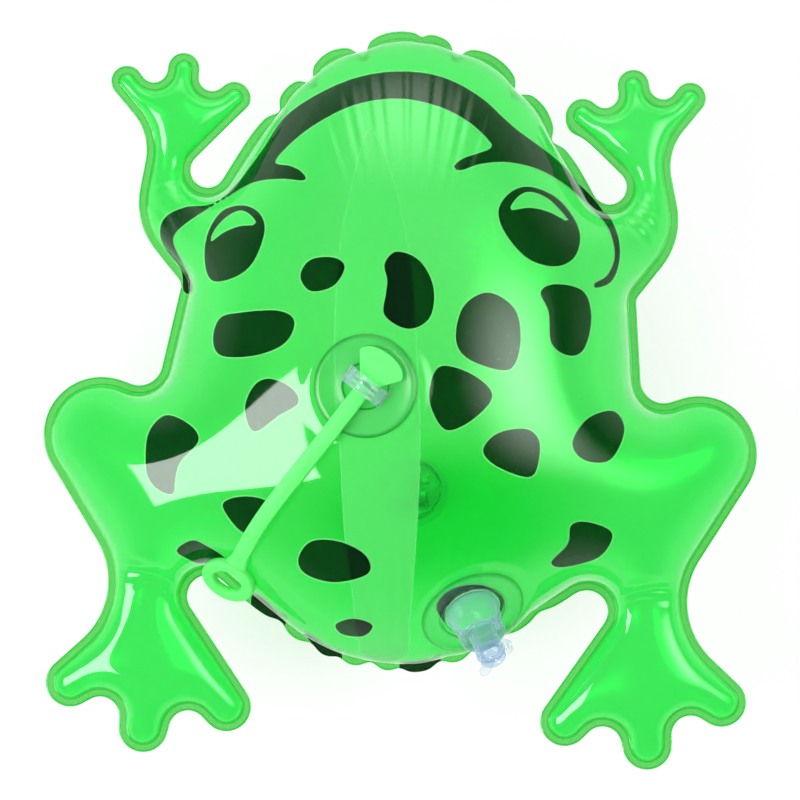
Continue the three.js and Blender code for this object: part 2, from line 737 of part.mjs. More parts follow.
piece(valve, 'valve_stem', turned([
  [STEM_BASE_RADIUS, 0],
  [STEM_TOP_RADIUS, STEM_HEIGHT],
  [STEM_TOP_RADIUS - STEM_WALL, STEM_HEIGHT],
  [STEM_TOP_RADIUS - 2 * STEM_WALL, shoulder],
  [NECK_RADIUS, shoulder],
  [NECK_RADIUS, neckTop],
  [NECK_BORE, neckTop],
  [NECK_BORE, shoulder - STEM_WALL],
  [STEM_TOP_RADIUS - STEM_WALL, shoulder - STEM_WALL],
  [STEM_BASE_RADIUS - STEM_WALL, 0],
]), CLEAR_VINYL);

function plugBody() {
  const bottom = neckTop + FIT;
  const radius = NECK_BORE - FIT;
  return turned([
    [0, bottom - PLUG_SHANK],
    [radius - STEM_WALL / 2, bottom - PLUG_SHANK],
    [radius, bottom - PLUG_SHANK + STEM_WALL],
    [radius, bottom],
    [CAP_RADIUS, bottom],
    [CAP_RADIUS, bottom + CAP_HEIGHT - CAP_ROUND],
    [CAP_RADIUS - CAP_ROUND, bottom + CAP_HEIGHT],
    [CAP_DIMPLE, bottom + CAP_HEIGHT],
    [CAP_DIMPLE - CAP_ROUND / 2, bottom + CAP_HEIGHT - CAP_ROUND],
    [0, bottom + CAP_HEIGHT - CAP_ROUND],
  ]);
}

function pullTab() {
  const half = TAB_WIDTH / 2;
  const end = CAP_RADIUS + TAB_LENGTH - half;
  const outline = new THREE.Shape();
  outline.moveTo(CAP_DIMPLE + CAP_ROUND, -half);
  outline.absarc(end, 0, half, -Math.PI / 2, Math.PI / 2, false);
  outline.lineTo(CAP_DIMPLE + CAP_ROUND, half);
  const middle = neckTop + FIT + CAP_HEIGHT / 2;
  const tab = extruded(outline, TAB_THICKNESS);
  return tab.translate(0, 0, middle - TAB_THICKNESS / 2).rotateZ(radians(TAB_TURN));
}

piece(valve, 'valve_plug', joined(plugBody(), pullTab()), CLEAR_VINYL);

function tetherLoop() {
  const loop = new THREE.Shape();
  loop.absarc(0, 0, TETHER_BOW, -Math.PI / 2, Math.PI / 2, false);
  loop.absarc(0, 0, TETHER_BOW - TETHER_THICKNESS, Math.PI / 2, -Math.PI / 2, true);
  const band = extruded(loop, TETHER_WIDTH).translate(0, 0, -TETHER_WIDTH / 2).rotateX(Math.PI / 2);
  const foot = Math.max(NECK_RADIUS, CAP_RADIUS) + FIT;
  return band.translate(foot, 0, neckTop - TETHER_BOW + CAP_HEIGHT).rotateZ(radians(TETHER_TURN));
}

piece(valve, 'plug_tether', tetherLoop(), CLEAR_VINYL);

const flapRadius = STEM_BASE_RADIUS - STEM_WALL + FLAP_LAP;
piece(valve, 'valve_flap', turned([
  [0, -FIT - FLAP_THICKNESS],
  [flapRadius, -FIT - FLAP_THICKNESS],
  [flapRadius, -FIT],
  [0, -FIT],
]), CLEAR_VINYL);

// Light: a clear dome welded inside the belly, over a round board with cells, lamps and a shake switch
const light = seatOn(body, pocketPad, true);
const domeStart = POCKET_HEIGHT - POCKET_RADIUS / 2;

function domeShell() {
  const arc = (radius, rise) => Array.from({ length: DOME_STEPS + 1 }, (_, step) => {
    const angle = (step / DOME_STEPS) * (Math.PI / 2);
    return [radius * Math.cos(angle), domeStart + rise * Math.sin(angle)];
  });
  const inner = arc(POCKET_RADIUS - POCKET_WALL, POCKET_HEIGHT - domeStart - POCKET_WALL).reverse();
  const outer = arc(POCKET_RADIUS, POCKET_HEIGHT - domeStart);
  inner[0][0] = 0;
  outer.at(-1)[0] = 0;
  return turned([
    ...inner,
    [POCKET_RADIUS - POCKET_WALL, 0],
    [POCKET_RADIUS + POCKET_LIP, 0],
    [POCKET_RADIUS + POCKET_LIP, POCKET_WALL],
    [POCKET_RADIUS, POCKET_WALL],
    ...outer,
  ]);
}

piece(light, 'light_pocket', domeShell(), CLEAR_VINYL);
piece(light, 'light_board', turned([
  [0, 0],
  [BOARD_RADIUS, 0],
  [BOARD_RADIUS, BOARD_THICKNESS],
  [0, BOARD_THICKNESS],
]), BOARD_GREEN);

// Everything on the board stands on its upper face.
const onBoard = new THREE.Group();
onBoard.position.z = BOARD_THICKNESS + FIT;
light.add(onBoard);

// Cells lie end to end along X between two upright contacts.
const cellPitch = CELL_HEIGHT + FIT;
const stackHalf = (CELL_COUNT * cellPitch - FIT) / 2;
const cellRow = -(CELL_RADIUS + CHIP_RADIUS / 4);

for (let index = 0; index < CELL_COUNT; index++) {
  const cell = turned([
    [0, -CELL_HEIGHT / 2],
    [CELL_RADIUS, -CELL_HEIGHT / 2],
    [CELL_RADIUS, CELL_HEIGHT / 2 - CELL_STEP],
    [CELL_RADIUS - CELL_STEP, CELL_HEIGHT / 2],
    [0, CELL_HEIGHT / 2],
  ]);
  const mesh = piece(onBoard, `button_cell_${index + 1}`, cell.rotateY(Math.PI / 2), STEEL);
  mesh.position.set((index - (CELL_COUNT - 1) / 2) * cellPitch, cellRow, CELL_RADIUS);
}

[['rear', -1], ['front', 1]].forEach(([end, way]) => {
  const plate = new THREE.BoxGeometry(CONTACT_THICKNESS, CONTACT_WIDTH, 2 * CELL_RADIUS);
  const mesh = piece(onBoard, `cell_contact_${end}`, plate, STEEL);
  mesh.position.set(way * (stackHalf + FIT + CONTACT_THICKNESS / 2), cellRow, CELL_RADIUS);
});

[-1, 1].forEach((way, index) => {
  const lamp = turned([
    [0, 0],
    [LED_FLANGE_RADIUS, 0],
    [LED_FLANGE_RADIUS, LED_RADIUS / 2],
    [LED_RADIUS, LED_RADIUS / 2],
    [LED_RADIUS, LED_HEIGHT - LED_RADIUS],
    [LED_RADIUS * Math.cos(radians(45)), LED_HEIGHT - LED_RADIUS * (1 - Math.sin(radians(45)))],
    [0, LED_HEIGHT],
  ], LED_SIDES);
  piece(onBoard, `led_${index + 1}`, lamp, LED_LENS).position.set((way * LED_PITCH) / 2, LED_ROW, 0);
});

piece(onBoard, 'flash_chip', turned([
  [0, 0],
  [CHIP_RADIUS, 0],
  [CHIP_RADIUS * CHIP_TAPER, CHIP_HEIGHT * CHIP_TAPER],
  [0, CHIP_HEIGHT],
], LED_SIDES), BLACK_EPOXY).position.y = CHIP_ROW;

// Shake switch: a wire coil around a bent post.
const wireSection = (radius) => new THREE.Shape(
  Array.from({ length: WIRE_SIDES }, (_, side) => heading((360 * side) / WIRE_SIDES).multiplyScalar(radius)),
);

class Coil extends THREE.Curve {
  getPoint(share, target = new THREE.Vector3()) {
    const angle = 2 * Math.PI * SPRING_TURNS * share;
    const along = SPRING_TURNS * SPRING_PITCH * (share - 0.5);
    return target.set(along, SPRING_RADIUS * Math.cos(angle), SPRING_RADIUS * Math.sin(angle));
  }
}

const springSteps = SPRING_TURNS * TURN_STEPS;
const coil = new Coil();
const springWire = wireSection(SPRING_WIRE / 2);
const springTube = new THREE.ExtrudeGeometry(springWire, { steps: springSteps, extrudePath: coil });
const springHeight = SPRING_RADIUS + SPRING_WIRE / 2;
piece(onBoard, 'shake_spring', springTube, STEEL).position.set(0, SPRING_ROW, springHeight);

const coilPoints = coil.getPoints(springSteps);
const nextTurn = coilPoints.slice(TURN_STEPS);
const turnGaps = nextTurn.map((point, index) => point.distanceTo(coilPoints[index]) - SPRING_WIRE);
console.log(`shake_spring: least gap between turns ${Math.min(...turnGaps).toFixed(2)} mm`);

const springHalf = (SPRING_TURNS * SPRING_PITCH) / 2;
const postEnd = -springHalf - POST_END;
const postRoute = new THREE.CatmullRomCurve3([
  new THREE.Vector3(springHalf, 0, springHeight),
  new THREE.Vector3(-springHalf, 0, springHeight),
  new THREE.Vector3(postEnd, 0, springHeight - POST_RADIUS),
  new THREE.Vector3(postEnd - POST_RADIUS, 0, POST_RADIUS),
]);
const postWire = wireSection(POST_RADIUS);
const postBar = new THREE.ExtrudeGeometry(postWire, { steps: TURN_STEPS, extrudePath: postRoute });
piece(onBoard, 'shake_post', postBar, STEEL).position.y = SPRING_ROW;

// The origin lies under the middle of the panels.
const middle = new THREE.Box2().setFromPoints(EDGE).getCenter(new THREE.Vector2());
body.position.set(-middle.x, -middle.y, SEAM_HEIGHT);

export default frog;
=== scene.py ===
import math

import bpy
import numpy as np
from mathutils import Matrix, Vector
from mathutils.geometry import delaunay_2d_cdt
from mathutils.kdtree import KDTree


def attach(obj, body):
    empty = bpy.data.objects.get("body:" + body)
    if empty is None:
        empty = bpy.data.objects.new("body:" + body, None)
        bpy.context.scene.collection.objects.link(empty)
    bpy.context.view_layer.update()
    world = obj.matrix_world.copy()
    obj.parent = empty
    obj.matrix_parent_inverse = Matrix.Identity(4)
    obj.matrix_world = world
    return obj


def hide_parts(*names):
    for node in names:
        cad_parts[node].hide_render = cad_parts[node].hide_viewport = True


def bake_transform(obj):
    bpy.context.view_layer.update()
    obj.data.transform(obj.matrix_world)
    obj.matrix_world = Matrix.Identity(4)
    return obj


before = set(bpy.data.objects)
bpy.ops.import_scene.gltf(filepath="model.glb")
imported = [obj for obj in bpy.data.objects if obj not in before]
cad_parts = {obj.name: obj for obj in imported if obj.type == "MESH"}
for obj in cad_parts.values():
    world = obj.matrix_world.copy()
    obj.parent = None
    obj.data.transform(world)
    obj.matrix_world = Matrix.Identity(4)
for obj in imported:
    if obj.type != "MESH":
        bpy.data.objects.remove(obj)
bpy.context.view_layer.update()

# Film panels, cut. Two sheets of see-through green PVC film are die cut to the frog's outline, which is
# a belt drawn round discs: round ends where it bulges, fillets where it turns in. Sizes are millimetres
# from the middle of the frog, x outwards and y towards the head.
MM = 0.001
# A disc is x, y and radius, and a fillet's radius is below 0. An arm's discs are placed from its wrist,
# a leg's from its thigh, and leans and turns are in degrees.
HEAD = (2.4, 78, 63.5)
REAR = (0, -33.8, 72.7)
LEFT_WRIST, RIGHT_WRIST = (88, 96.5), (94, 90)
LEFT_THIGH, RIGHT_THIGH = (115, -13.8), (114.6, -21.2)
LEFT_LEG_TURN, RIGHT_LEG_TURN = 2, 0
HAND_LEAN, FOOT_LEAN = 8.5, -7
FINGERS = {"spread": 42.5, "reach": 30.9, "radius": 6, "valley_reach": 31.3, "valley_radius": 5.5}
TOES = {"spread": 46, "reach": 42.2, "radius": 9.4, "valley_reach": 43.8, "valley_radius": 7.4}
ARMPIT, WRIST_VALLEY = (-13.8, -8.5, -6.7), (31.2, -0.7, -21.5)
ELBOW, FLANK_VALLEY = (-16.3, -21.1, 29), (0.7, -53, -4.2)
HIP_VALLEY, THIGH = (-13.5, 28.5, -9), (0, 0, 22.3)
ANKLE_VALLEY, CROTCH, HEEL = (25.55, -57, -30), (-43.05, -60.5, -8.1), (-25, -70)
VALLEY_ROOM = 0.97
MIDDLE = Vector((0.14, 0.47))


def paw(wrist, forward, lean, size):
    tip, valley = (size["reach"], size["radius"]), (size["valley_reach"], -size["valley_radius"])
    discs = []
    for turns, (reach, radius) in ((1, tip), (0.5, valley), (0, tip), (-0.5, valley), (-1, tip)):
        angle = math.radians(lean + turns * size["spread"])
        x = wrist[0] - reach * math.sin(angle)
        y = wrist[1] + forward * reach * math.cos(angle)
        discs.append((x, y, radius))
    return discs


def arm_discs(wrist):
    def at(place):
        return (wrist[0] + place[0], wrist[1] + place[1], place[2])
    return [at(ARMPIT), *paw(wrist, 1, HAND_LEAN, FINGERS), at(WRIST_VALLEY), at(ELBOW), at(FLANK_VALLEY)]


def leg_discs(thigh, turn):
    toes = paw(HEEL, -1, FOOT_LEAN, TOES)
    toes.reverse()
    cos, sin = math.cos(math.radians(turn)), math.sin(math.radians(turn))
    discs = [HIP_VALLEY, THIGH, ANKLE_VALLEY, *toes, CROTCH]
    return [(thigh[0] + x * cos - y * sin, thigh[1] + x * sin + y * cos, r) for x, y, r in discs]


def outline_discs():
    left = [(-x, y, r) for x, y, r in arm_discs(LEFT_WRIST) + leg_discs(LEFT_THIGH, LEFT_LEG_TURN)]
    right = arm_discs(RIGHT_WRIST) + leg_discs(RIGHT_THIGH, RIGHT_LEG_TURN)
    right.reverse()
    discs = [HEAD, *left, REAR, *right]
    fitted = []
    for index, (x, y, r) in enumerate(discs):
        if r < 0:
            beside = [discs[index - 1], discs[(index + 1) % len(discs)]]
            rooms = [math.hypot(a - x, b - y) - q for a, b, q in beside if q > 0]
            r = -min([-r] + [VALLEY_ROOM * room for room in rooms])
        fitted.append((Vector((x, y)), r))
    return fitted


OUTLINE = outline_discs()
EDGE_STEP = 1.3


def outline_loop(inset):
    lines = []
    for index, (centre, radius) in enumerate(OUTLINE):
        next_centre, next_radius = OUTLINE[(index + 1) % len(OUTLINE)]
        across = next_centre - centre
        angle = math.atan2(across.y, across.x) - math.asin((next_radius - radius) / across.length)
        normal = Vector((-math.sin(angle), math.cos(angle)))
        ends = [centre + normal * (inset - radius), next_centre + normal * (inset - next_radius)]
        full = [centre - normal * radius, next_centre - normal * next_radius]
        lines.append((angle, ends, math.ceil((full[1] - full[0]).length / EDGE_STEP)))
    loop = []
    for index, (centre, radius) in enumerate(OUTLINE):
        arriving, (leaving, ends, line_edges) = lines[index - 1][0], lines[index]
        way = math.copysign(1, radius)
        turn = (way * (leaving - arriving)) % (2 * math.pi)
        arc_edges = max(2, math.ceil(turn * abs(radius) / EDGE_STEP))
        for step in range(arc_edges + 1):
            angle = arriving + way * turn * step / arc_edges - math.pi / 2
            loop.append(centre + Vector((math.cos(angle), math.sin(angle))) * (radius - inset))
        loop += [ends[0].lerp(ends[1], step / line_edges) for step in range(1, line_edges)]
    return np.array(loop)


# Film panels, blown up. The sheets are heat welded together along a flat rim. Held at the weld, the
# film bulges to the round side of a tube. The moulded fittings press flat pads into it, and the belly
# is pressed flat where it lies.
WELD_WIDTH = 3.3
WELD_GAP = 0.1
FILM = 0.3
CROWN = 58
BELLY_FLAT = 2
SEAM_HEIGHT = CROWN - BELLY_FLAT + FILM + WELD_GAP / 2
BELLY_EASE = 0.6
# The film is meshed in even triangles, in rows along the rim and on a grid inside it.
BACK_STEP, BELLY_STEP = 1.45, 2.2
RIM_ROWS = (0, 0.5, 1.1, 2.2, 2.9, WELD_WIDTH)
WALL_ROWS = (0.1, 0.4, 0.9, 1.6)
ROW_ROOM, GRID_ROOM, GRID_RISE = 0.4, 0.6, 0.866
HELD_RIM = WELD_WIDTH + 0.02
SWELL_ROUNDS = 900
# Each pad is its seat, the way it faces and its radius.
PAD_EASE = 5
SEAT_FIT = 0.3
VALVE_SEAT = Vector((27.03, -79.22, 85.22))
VALVE_AXIS = Vector((0.2892, -0.6359, 0.7155)).normalized()
VALVE_PAD, FILM_HOLE, HOLE_CORNERS, HOLE_TRIM = 21, 10.95, 72, 0.999
ANCHOR_SEAT = Vector((-12.68, 5.17, 113.82))
ANCHOR_AXIS = Vector((-0.0879, -0.0114, 0.9961)).normalized()
ANCHOR_PAD = 20
POCKET_SEAT = Vector((4.94, -36.96, 4.09))
POCKET_AXIS = Vector((-0.0207, 0.2356, 0.9716)).normalized()
POCKET_PAD = 15.1


def is_inside(points, loop):
    inside = np.zeros(len(points), bool)
    for (ax, ay), (bx, by) in zip(loop, np.roll(loop, -1, axis=0)):
        rising = (ay > points[:, 1]) != (by > points[:, 1])
        if rising.any():
            hit = points[rising, 0] < ax + (bx - ax) * (points[rising, 1] - ay) / (by - ay)
            inside[np.flatnonzero(rising)[hit]] ^= True
    return inside


def nearest(points, loop):
    tree = KDTree(len(loop))
    for index, (x, y) in enumerate(loop):
        tree.insert((x, y, 0), index)
    tree.balance()
    return np.array([tree.find((x, y, 0))[2] for x, y in points])


def thinned(row, room):
    kept = [row[0]]
    for point in row[1:]:
        if np.hypot(*(point - kept[-1])) > room and np.hypot(*(point - row[0])) > room:
            kept.append(point)
    return np.array(kept)


def plan_mesh(step, hole):
    insets = [*RIM_ROWS, *(WELD_WIDTH + inset for inset in WALL_ROWS)]
    rows = [thinned(outline_loop(inset), ROW_ROOM) for inset in insets]
    last = outline_loop(insets[-1])
    low, high = last.min(axis=0), last.max(axis=0)
    grid = []
    for row in range(int((high[1] - low[1]) / (step * GRID_RISE))):
        xs = np.arange(low[0] + (row % 2) * step / 2, high[0], step)
        grid.append(np.stack([xs, np.full(len(xs), low[1] + row * step * GRID_RISE)], axis=1))
    grid = np.concatenate(grid)
    grid = grid[is_inside(grid, last)]
    grid = grid[nearest(grid, last) > GRID_ROOM * step]
    if len(hole):
        grid = grid[~is_inside(grid, hole)]
        grid = grid[nearest(grid, hole) > GRID_ROOM * step]
        rows.append(hole)
    points = np.concatenate(rows + [grid])
    count = len(rows[0])
    edges = [(index, (index + 1) % count) for index in range(count)]
    flat, _, faces, _, _, _ = delaunay_2d_cdt([Vector(p) for p in points], edges, [], 1, 1e-5)
    plan = np.array([tuple(p) for p in flat])
    faces = np.array(faces)
    if len(hole):
        trimmed = hole * HOLE_TRIM + hole.mean(axis=0) * (1 - HOLE_TRIM)
        faces = faces[~is_inside(plan[faces].mean(axis=1), trimmed)]
    return plan, faces


def swell(plan, faces, rim):
    held = rim < HELD_RIM
    faces = faces[~held[faces].all(axis=1)]
    stiff, load = np.zeros(len(plan)), np.zeros(len(plan))
    ends, weights = [], []
    for corner in range(3):
        a, b, c = faces[:, corner], faces[:, (corner + 1) % 3], faces[:, (corner + 2) % 3]
        u, v = plan[a] - plan[c], plan[b] - plan[c]
        twice = np.abs(u[:, 0] * v[:, 1] - u[:, 1] * v[:, 0]) + 1e-9
        ends.append(np.stack([a, b], axis=1))
        weights.append((u * v).sum(axis=1) / twice / 2)
        np.add.at(load, a, twice / 6)
    ends, weights = np.concatenate(ends), np.concatenate(weights)
    np.add.at(stiff, ends[:, 0], weights)
    np.add.at(stiff, ends[:, 1], weights)
    free = ~held & (stiff > 0)

    def pull(bulge):
        total = stiff * bulge
        total -= np.bincount(ends[:, 0], weights * bulge[ends[:, 1]], len(plan))
        total -= np.bincount(ends[:, 1], weights * bulge[ends[:, 0]], len(plan))
        return np.where(free, total, 0)

    bulge = np.zeros(len(plan))
    rest = np.where(free, load, 0)
    ease = np.where(free, 1 / np.where(stiff > 0, stiff, 1), 0)
    step = ease * rest
    power = rest @ step
    for _ in range(SWELL_ROUNDS):
        reaction = pull(step)
        share = power / (step @ reaction)
        bulge += share * step
        rest -= share * reaction
        eased = ease * rest
        power, before = rest @ eased, power
        step = eased + step * power / before
    return CROWN * np.sqrt(np.maximum(bulge, 0) / bulge.max())


def share_within(reach, radius, ease):
    share = np.clip((radius + ease - reach) / ease, 0, 1)
    return share * share * (3 - 2 * share)


def pad_blend(plan, height, seat, axis, radius, lift):
    offset = plan + np.array(MIDDLE) - np.array(seat.xy)
    flat = seat.z - (offset @ np.array(axis.xy)) / axis.z
    reach = np.sqrt((offset ** 2).sum(axis=1) + (flat - seat.z) ** 2)
    return height + share_within(reach, radius, PAD_EASE) * (lift(flat) - height)


# Puckers and creases. The rim is longer than the round edge it ends up on, so it is drawn in at a few
# places round the head and the rear and stands out in lobes between them. Where a leg or an arm meets the
# body the film buckles into short cross folds. Each pucker is x, y, depth and half width.
PUCKERS = [
    (8.2, 141, 2, 1.8), (23.5, 138, 7, 2.6), (48.5, 121.5, 6, 2.8), (63, 101, 4.5, 3),
    (-16.5, 138.5, 7.5, 2.6), (-38, 126.5, 6.5, 2.6), (-49, 112, 5, 3),
    (-48, -87.5, 3.2, 4), (-36, -96.5, 3, 3.6), (-25, -102, 2.4, 3), (-12.2, -105, 4, 3.6),
    (-0.5, -106.2, 2.4, 3), (16, -104.5, 3.6, 3.6), (29.5, -100, 3.4, 4), (41, -93, 2.6, 3.6),
    (53.5, -82, 2.6, 4),
]
PUCKER_RISE, PUCKER_WIDENS = 8, 0.16
PUCKER_DROOP, PUCKER_DROOP_SHARE = 3, 0.4
PUCKER_INWARD, PUCKER_OUTWARD = 16, 6
# Fine folds run up the head and the rear from the gathered rim, spaced in millimetres along it. They fade
# in and out between two distances from the rim, sideways and where the film lies low.
GATHER_HEAD, GATHER_REAR, GATHER_SPACING = 0.24, 0.09, (5.2, 8.3)
GATHER_FROM, GATHER_FULL, GATHER_FADES, GATHER_TO = 8, 14, 34, 58
GATHER_INSIDE, GATHER_SIDE, GATHER_SIDE_FADE = 70, 57.6, 48
GATHER_LOW, GATHER_LOW_FADE = 8, 10
# Each crease is x, y, heading in degrees, half length, half width and depth. It bows, and has a raised lip.
CREASES = [
    (-96.5, -66.5, -13, 11, 1.5, 3), (-95.5, -70.5, -10, 9, 1.4, 2), (-98.5, -62, -20, 8, 1.8, 1),
    (96, -72.5, 2, 11, 1.5, 3), (96, -76.5, 4, 9, 1.4, 2), (95, -68.5, -6, 8, 1.8, 1),
    (-89.5, 83, 5, 8, 1.3, 1.4), (-89, 79.5, 12, 6, 1.2, 0.9), (-90.5, 70, -50, 8, 1.6, 1.6),
    (92, 69, -38, 8, 1.3, 1.4), (88.5, 65, -42, 8, 1.3, 1.2), (95, 73, -34, 7, 1.3, 1),
]
CREASE_BOW, CREASE_LIP, CREASE_LIP_REACH, CREASE_HEIGHT = 0.015, 0.35, 2.2, 12
# Hands and feet are stretched flatter on top than the tubes that they end. Each is x, y, radius and height.
PAW_TOPS = [(-103, -99, 27, 10.5), (103, -105, 27, 10.5), (-91, 110, 18, 6.8), (97, 104, 18, 6.8)]
PAW_EASE, PAW_SQUARENESS = 12, 4


def flattened(plan, height):
    lowered = height.copy()
    for x, y, radius, top in PAW_TOPS:
        reach = np.hypot(plan[:, 0] - x, plan[:, 1] - y)
        flat = height / (1 + (height / top) ** PAW_SQUARENESS) ** (1 / PAW_SQUARENESS)
        lowered += share_within(reach, radius, PAW_EASE) * (flat - height)
    return lowered


def puckered(shape, rise):
    moved = shape.copy()
    for x, y, depth, wide in PUCKERS:
        disc = HEAD if y > 0 else REAR
        inward = np.array([disc[0] - x, disc[1] - y])
        inward /= np.hypot(*inward)
        offset = shape[:, :2] - np.array([x, y])
        along = offset @ np.array([-inward[1], inward[0]])
        inwards = offset @ inward
        run = along / (wide + PUCKER_WIDENS * rise)
        share = (1 - PUCKER_DROOP_SHARE) * np.exp(-run ** 2)
        share += PUCKER_DROOP_SHARE * np.exp(-(run / PUCKER_DROOP) ** 2)
        share *= np.exp(-(rise / PUCKER_RISE) ** 2)
        share *= np.clip(1 - inwards / PUCKER_INWARD, 0, 1)
        share *= np.exp(-(np.minimum(inwards, 0) / PUCKER_OUTWARD) ** 2)
        moved[:, :2] += depth * share[:, None] * inward
    return moved


def gathered(plan, height, rim):
    folded = height.copy()
    for (x, y, radius), high in ((HEAD, GATHER_HEAD), (REAR, GATHER_REAR)):
        offset = plan - np.array([x, y - math.copysign(GATHER_INSIDE, y)])
        way = np.arctan2(offset[:, 0], offset[:, 1] * math.copysign(1, y))
        run = (radius + GATHER_INSIDE) * way
        share = np.clip((GATHER_SIDE - np.abs(run)) / GATHER_SIDE_FADE, 0, 1)
        share *= np.clip((rim - GATHER_FROM) / (GATHER_FULL - GATHER_FROM), 0, 1)
        share *= np.clip((GATHER_TO - rim) / (GATHER_TO - GATHER_FADES), 0, 1)
        share *= np.clip((height - GATHER_LOW) / GATHER_LOW_FADE, 0, 1)
        waves = sum(np.cos(2 * math.pi * run / spacing) for spacing in GATHER_SPACING)
        folded += high * share * waves
    return folded


def creased(plan, height):
    lowered = height.copy()
    for x, y, heading, long, wide, depth in CREASES:
        angle = math.radians(heading)
        offset = plan - np.array([x, y])
        along = offset @ np.array([math.cos(angle), math.sin(angle)])
        across = offset @ np.array([-math.sin(angle), math.cos(angle)]) + CREASE_BOW * along ** 2
        fold = np.exp(-(across / wide) ** 2) - CREASE_LIP * np.exp(-(across / wide / CREASE_LIP_REACH) ** 2)
        lowered -= depth * fold * np.exp(-(along / long) ** 2) * np.clip(height / CREASE_HEIGHT, 0, 1)
    return lowered


# Print. Spots, eyes and a wide mouth are printed on the back film in near-black ink before it is cut.
# Outlines are drawn through these points; the eyes have a light crescent left open.
INK = [
    [(-59, 72.5), (-52.5, 69), (-50.5, 62), (-54.5, 51), (-61, 45.5), (-70, 44), (-73.5, 50), (-73, 61),
     (-67.5, 70.5)],
    [(48, 79), (58, 75.5), (65, 67.5), (67, 59.5), (64, 52), (56.5, 49), (46.5, 52), (38.5, 61), (36, 69.5),
     (40.5, 76.5)],
    [(-89.5, 69.5), (-81.5, 73), (-71.5, 74), (-62.5, 81), (-52.5, 94), (-44, 106.5), (-31, 115),
     (-16, 121), (-0.5, 123), (15, 121), (29.5, 113.5), (43, 101.5), (60.5, 89.5), (75.5, 75.5),
     (81.5, 63.5), (82.5, 53), (79.5, 44.5), (73.5, 41.5), (72, 43), (77.5, 46.5), (80.5, 54.5), (77.5, 66),
     (68, 76.5), (54, 85), (40.5, 88), (29.5, 87), (22.5, 84.5), (19.5, 85.5), (23, 89), (33, 93),
     (32.5, 96.5), (24, 104), (12.5, 109.5), (-2, 112), (-18, 109.5), (-33, 102), (-43, 94), (-47, 88.5),
     (-41.5, 87), (-37, 84.5), (-35.5, 81), (-45, 82), (-56, 81), (-67.5, 75), (-77.5, 69), (-85, 63.5),
     (-86.5, 59.5), (-84, 53.5), (-80, 45.5), (-79.5, 40.5), (-83.5, 41.5), (-84.5, 49.5), (-90.5, 57.5),
     (-92, 64)],
    [(-37, 45), (-33.5, 51), (-25, 52), (-20.5, 48.5), (-24.5, 41.5), (-33, 39.5)],
    [(-6, 49.5), (-1.5, 54), (7, 50.5), (12, 40.5), (10.5, 29.5), (2.5, 25.5), (-6, 30.5), (-5.5, 38.5),
     (-5, 43.5)],
    [(-70, 22), (-67.5, 30), (-59.5, 32), (-45, 32.5), (-39, 28.5), (-42.5, 20.5), (-53.5, 16),
     (-66.5, 16)],
    [(-57.5, -3.5), (-54, 5), (-48, 7.5), (-40, 4), (-37.5, -1.5), (-44.5, -6), (-54, -12)],
    [(-95.5, -23.5), (-94.5, -12.5), (-88, -6), (-78.5, -9.5), (-75, -15.5), (-82, -23.5), (-84, -30),
     (-85, -35.5), (-90.5, -34), (-94.5, -29.5)],
    [(-66, -40.5), (-63.5, -37), (-55.5, -36), (-49, -38.5), (-53, -46.5), (-59, -49.5)],
    [(-84.5, -57), (-78.5, -53), (-73, -55), (-66.5, -60), (-75.5, -62.5), (-80.5, -60.5)],
    [(-38, -59), (-33, -52.5), (-22.5, -52.5), (-13, -57.5), (-12, -64.5), (-24.5, -68), (-35.5, -65)],
    [(-24.5, -84.5), (-17.5, -82), (-10.5, -84.5), (-14, -89), (-22, -88.5)],
    [(20, 22.5), (23, 34), (32, 39), (41.5, 33.5), (44, 23.5), (42, 13), (36.5, 10.5), (24, 15)],
    [(10.5, 4), (14.5, 12), (26, 9), (33.5, 1.5), (27, -7), (17, -11.5), (11.5, -4.5)],
    [(30, -18.5), (35.5, -12.5), (46, -11), (51, -16), (49.5, -27), (44.5, -28.5), (34, -24)],
    [(51.5, 39.5), (57.5, 42.5), (68, 40), (71, 30), (68, 18.5), (62, 16), (55.5, 20.5), (54.5, 32)],
    [(63.5, -15), (69.5, -7), (79.5, -4.5), (83.5, -11.5), (78.5, -22), (71, -23.5), (65, -20.5)],
    [(56, -61), (62, -54), (63, -47), (68, -45.5), (76.5, -48), (79, -52), (74, -59.5), (61.5, -63)],
    [(13.5, -79), (15.5, -73), (22, -69.5), (31, -69.5), (38.5, -75), (35, -84), (21, -87)],
    [(-57, -74.5), (-52, -76), (-45.5, -84), (-48, -90), (-57, -82)],
    [(-37, -89), (-31, -92.5), (-24, -98.5), (-25, -106), (-36, -97)],
    [(0, -102), (6, -100), (15.5, -100.5), (14, -110), (1, -111)],
]
OPEN = [
    [(-71.5, 59), (-69.5, 64), (-65, 68.5), (-60, 70.5), (-56, 68.5), (-54, 65), (-60, 64.5), (-66, 62.5)],
    [(40.5, 70), (43.5, 75), (48, 77), (54.5, 75), (60, 70), (63, 66), (55.5, 69.5), (48, 71)],
]
PRINT_EDGE_STEPS = 8
UNPRINTED = -9.0


def spline_point(p0, p1, p2, p3, t):
    return 0.5 * (2 * p1 + (p2 - p0) * t + (2 * p0 - 5 * p1 + 4 * p2 - p3) * t * t
                  + (3 * p1 - p0 - 3 * p2 + p3) * t ** 3)


def smooth_loop(corners):
    p1 = np.array(corners, float)
    p0, p2, p3 = np.roll(p1, 1, axis=0), np.roll(p1, -1, axis=0), np.roll(p1, -2, axis=0)
    loop = [spline_point(p0, p1, p2, p3, step / PRINT_EDGE_STEPS) for step in range(PRINT_EDGE_STEPS)]
    return np.stack(loop, axis=1).reshape(-1, 2)


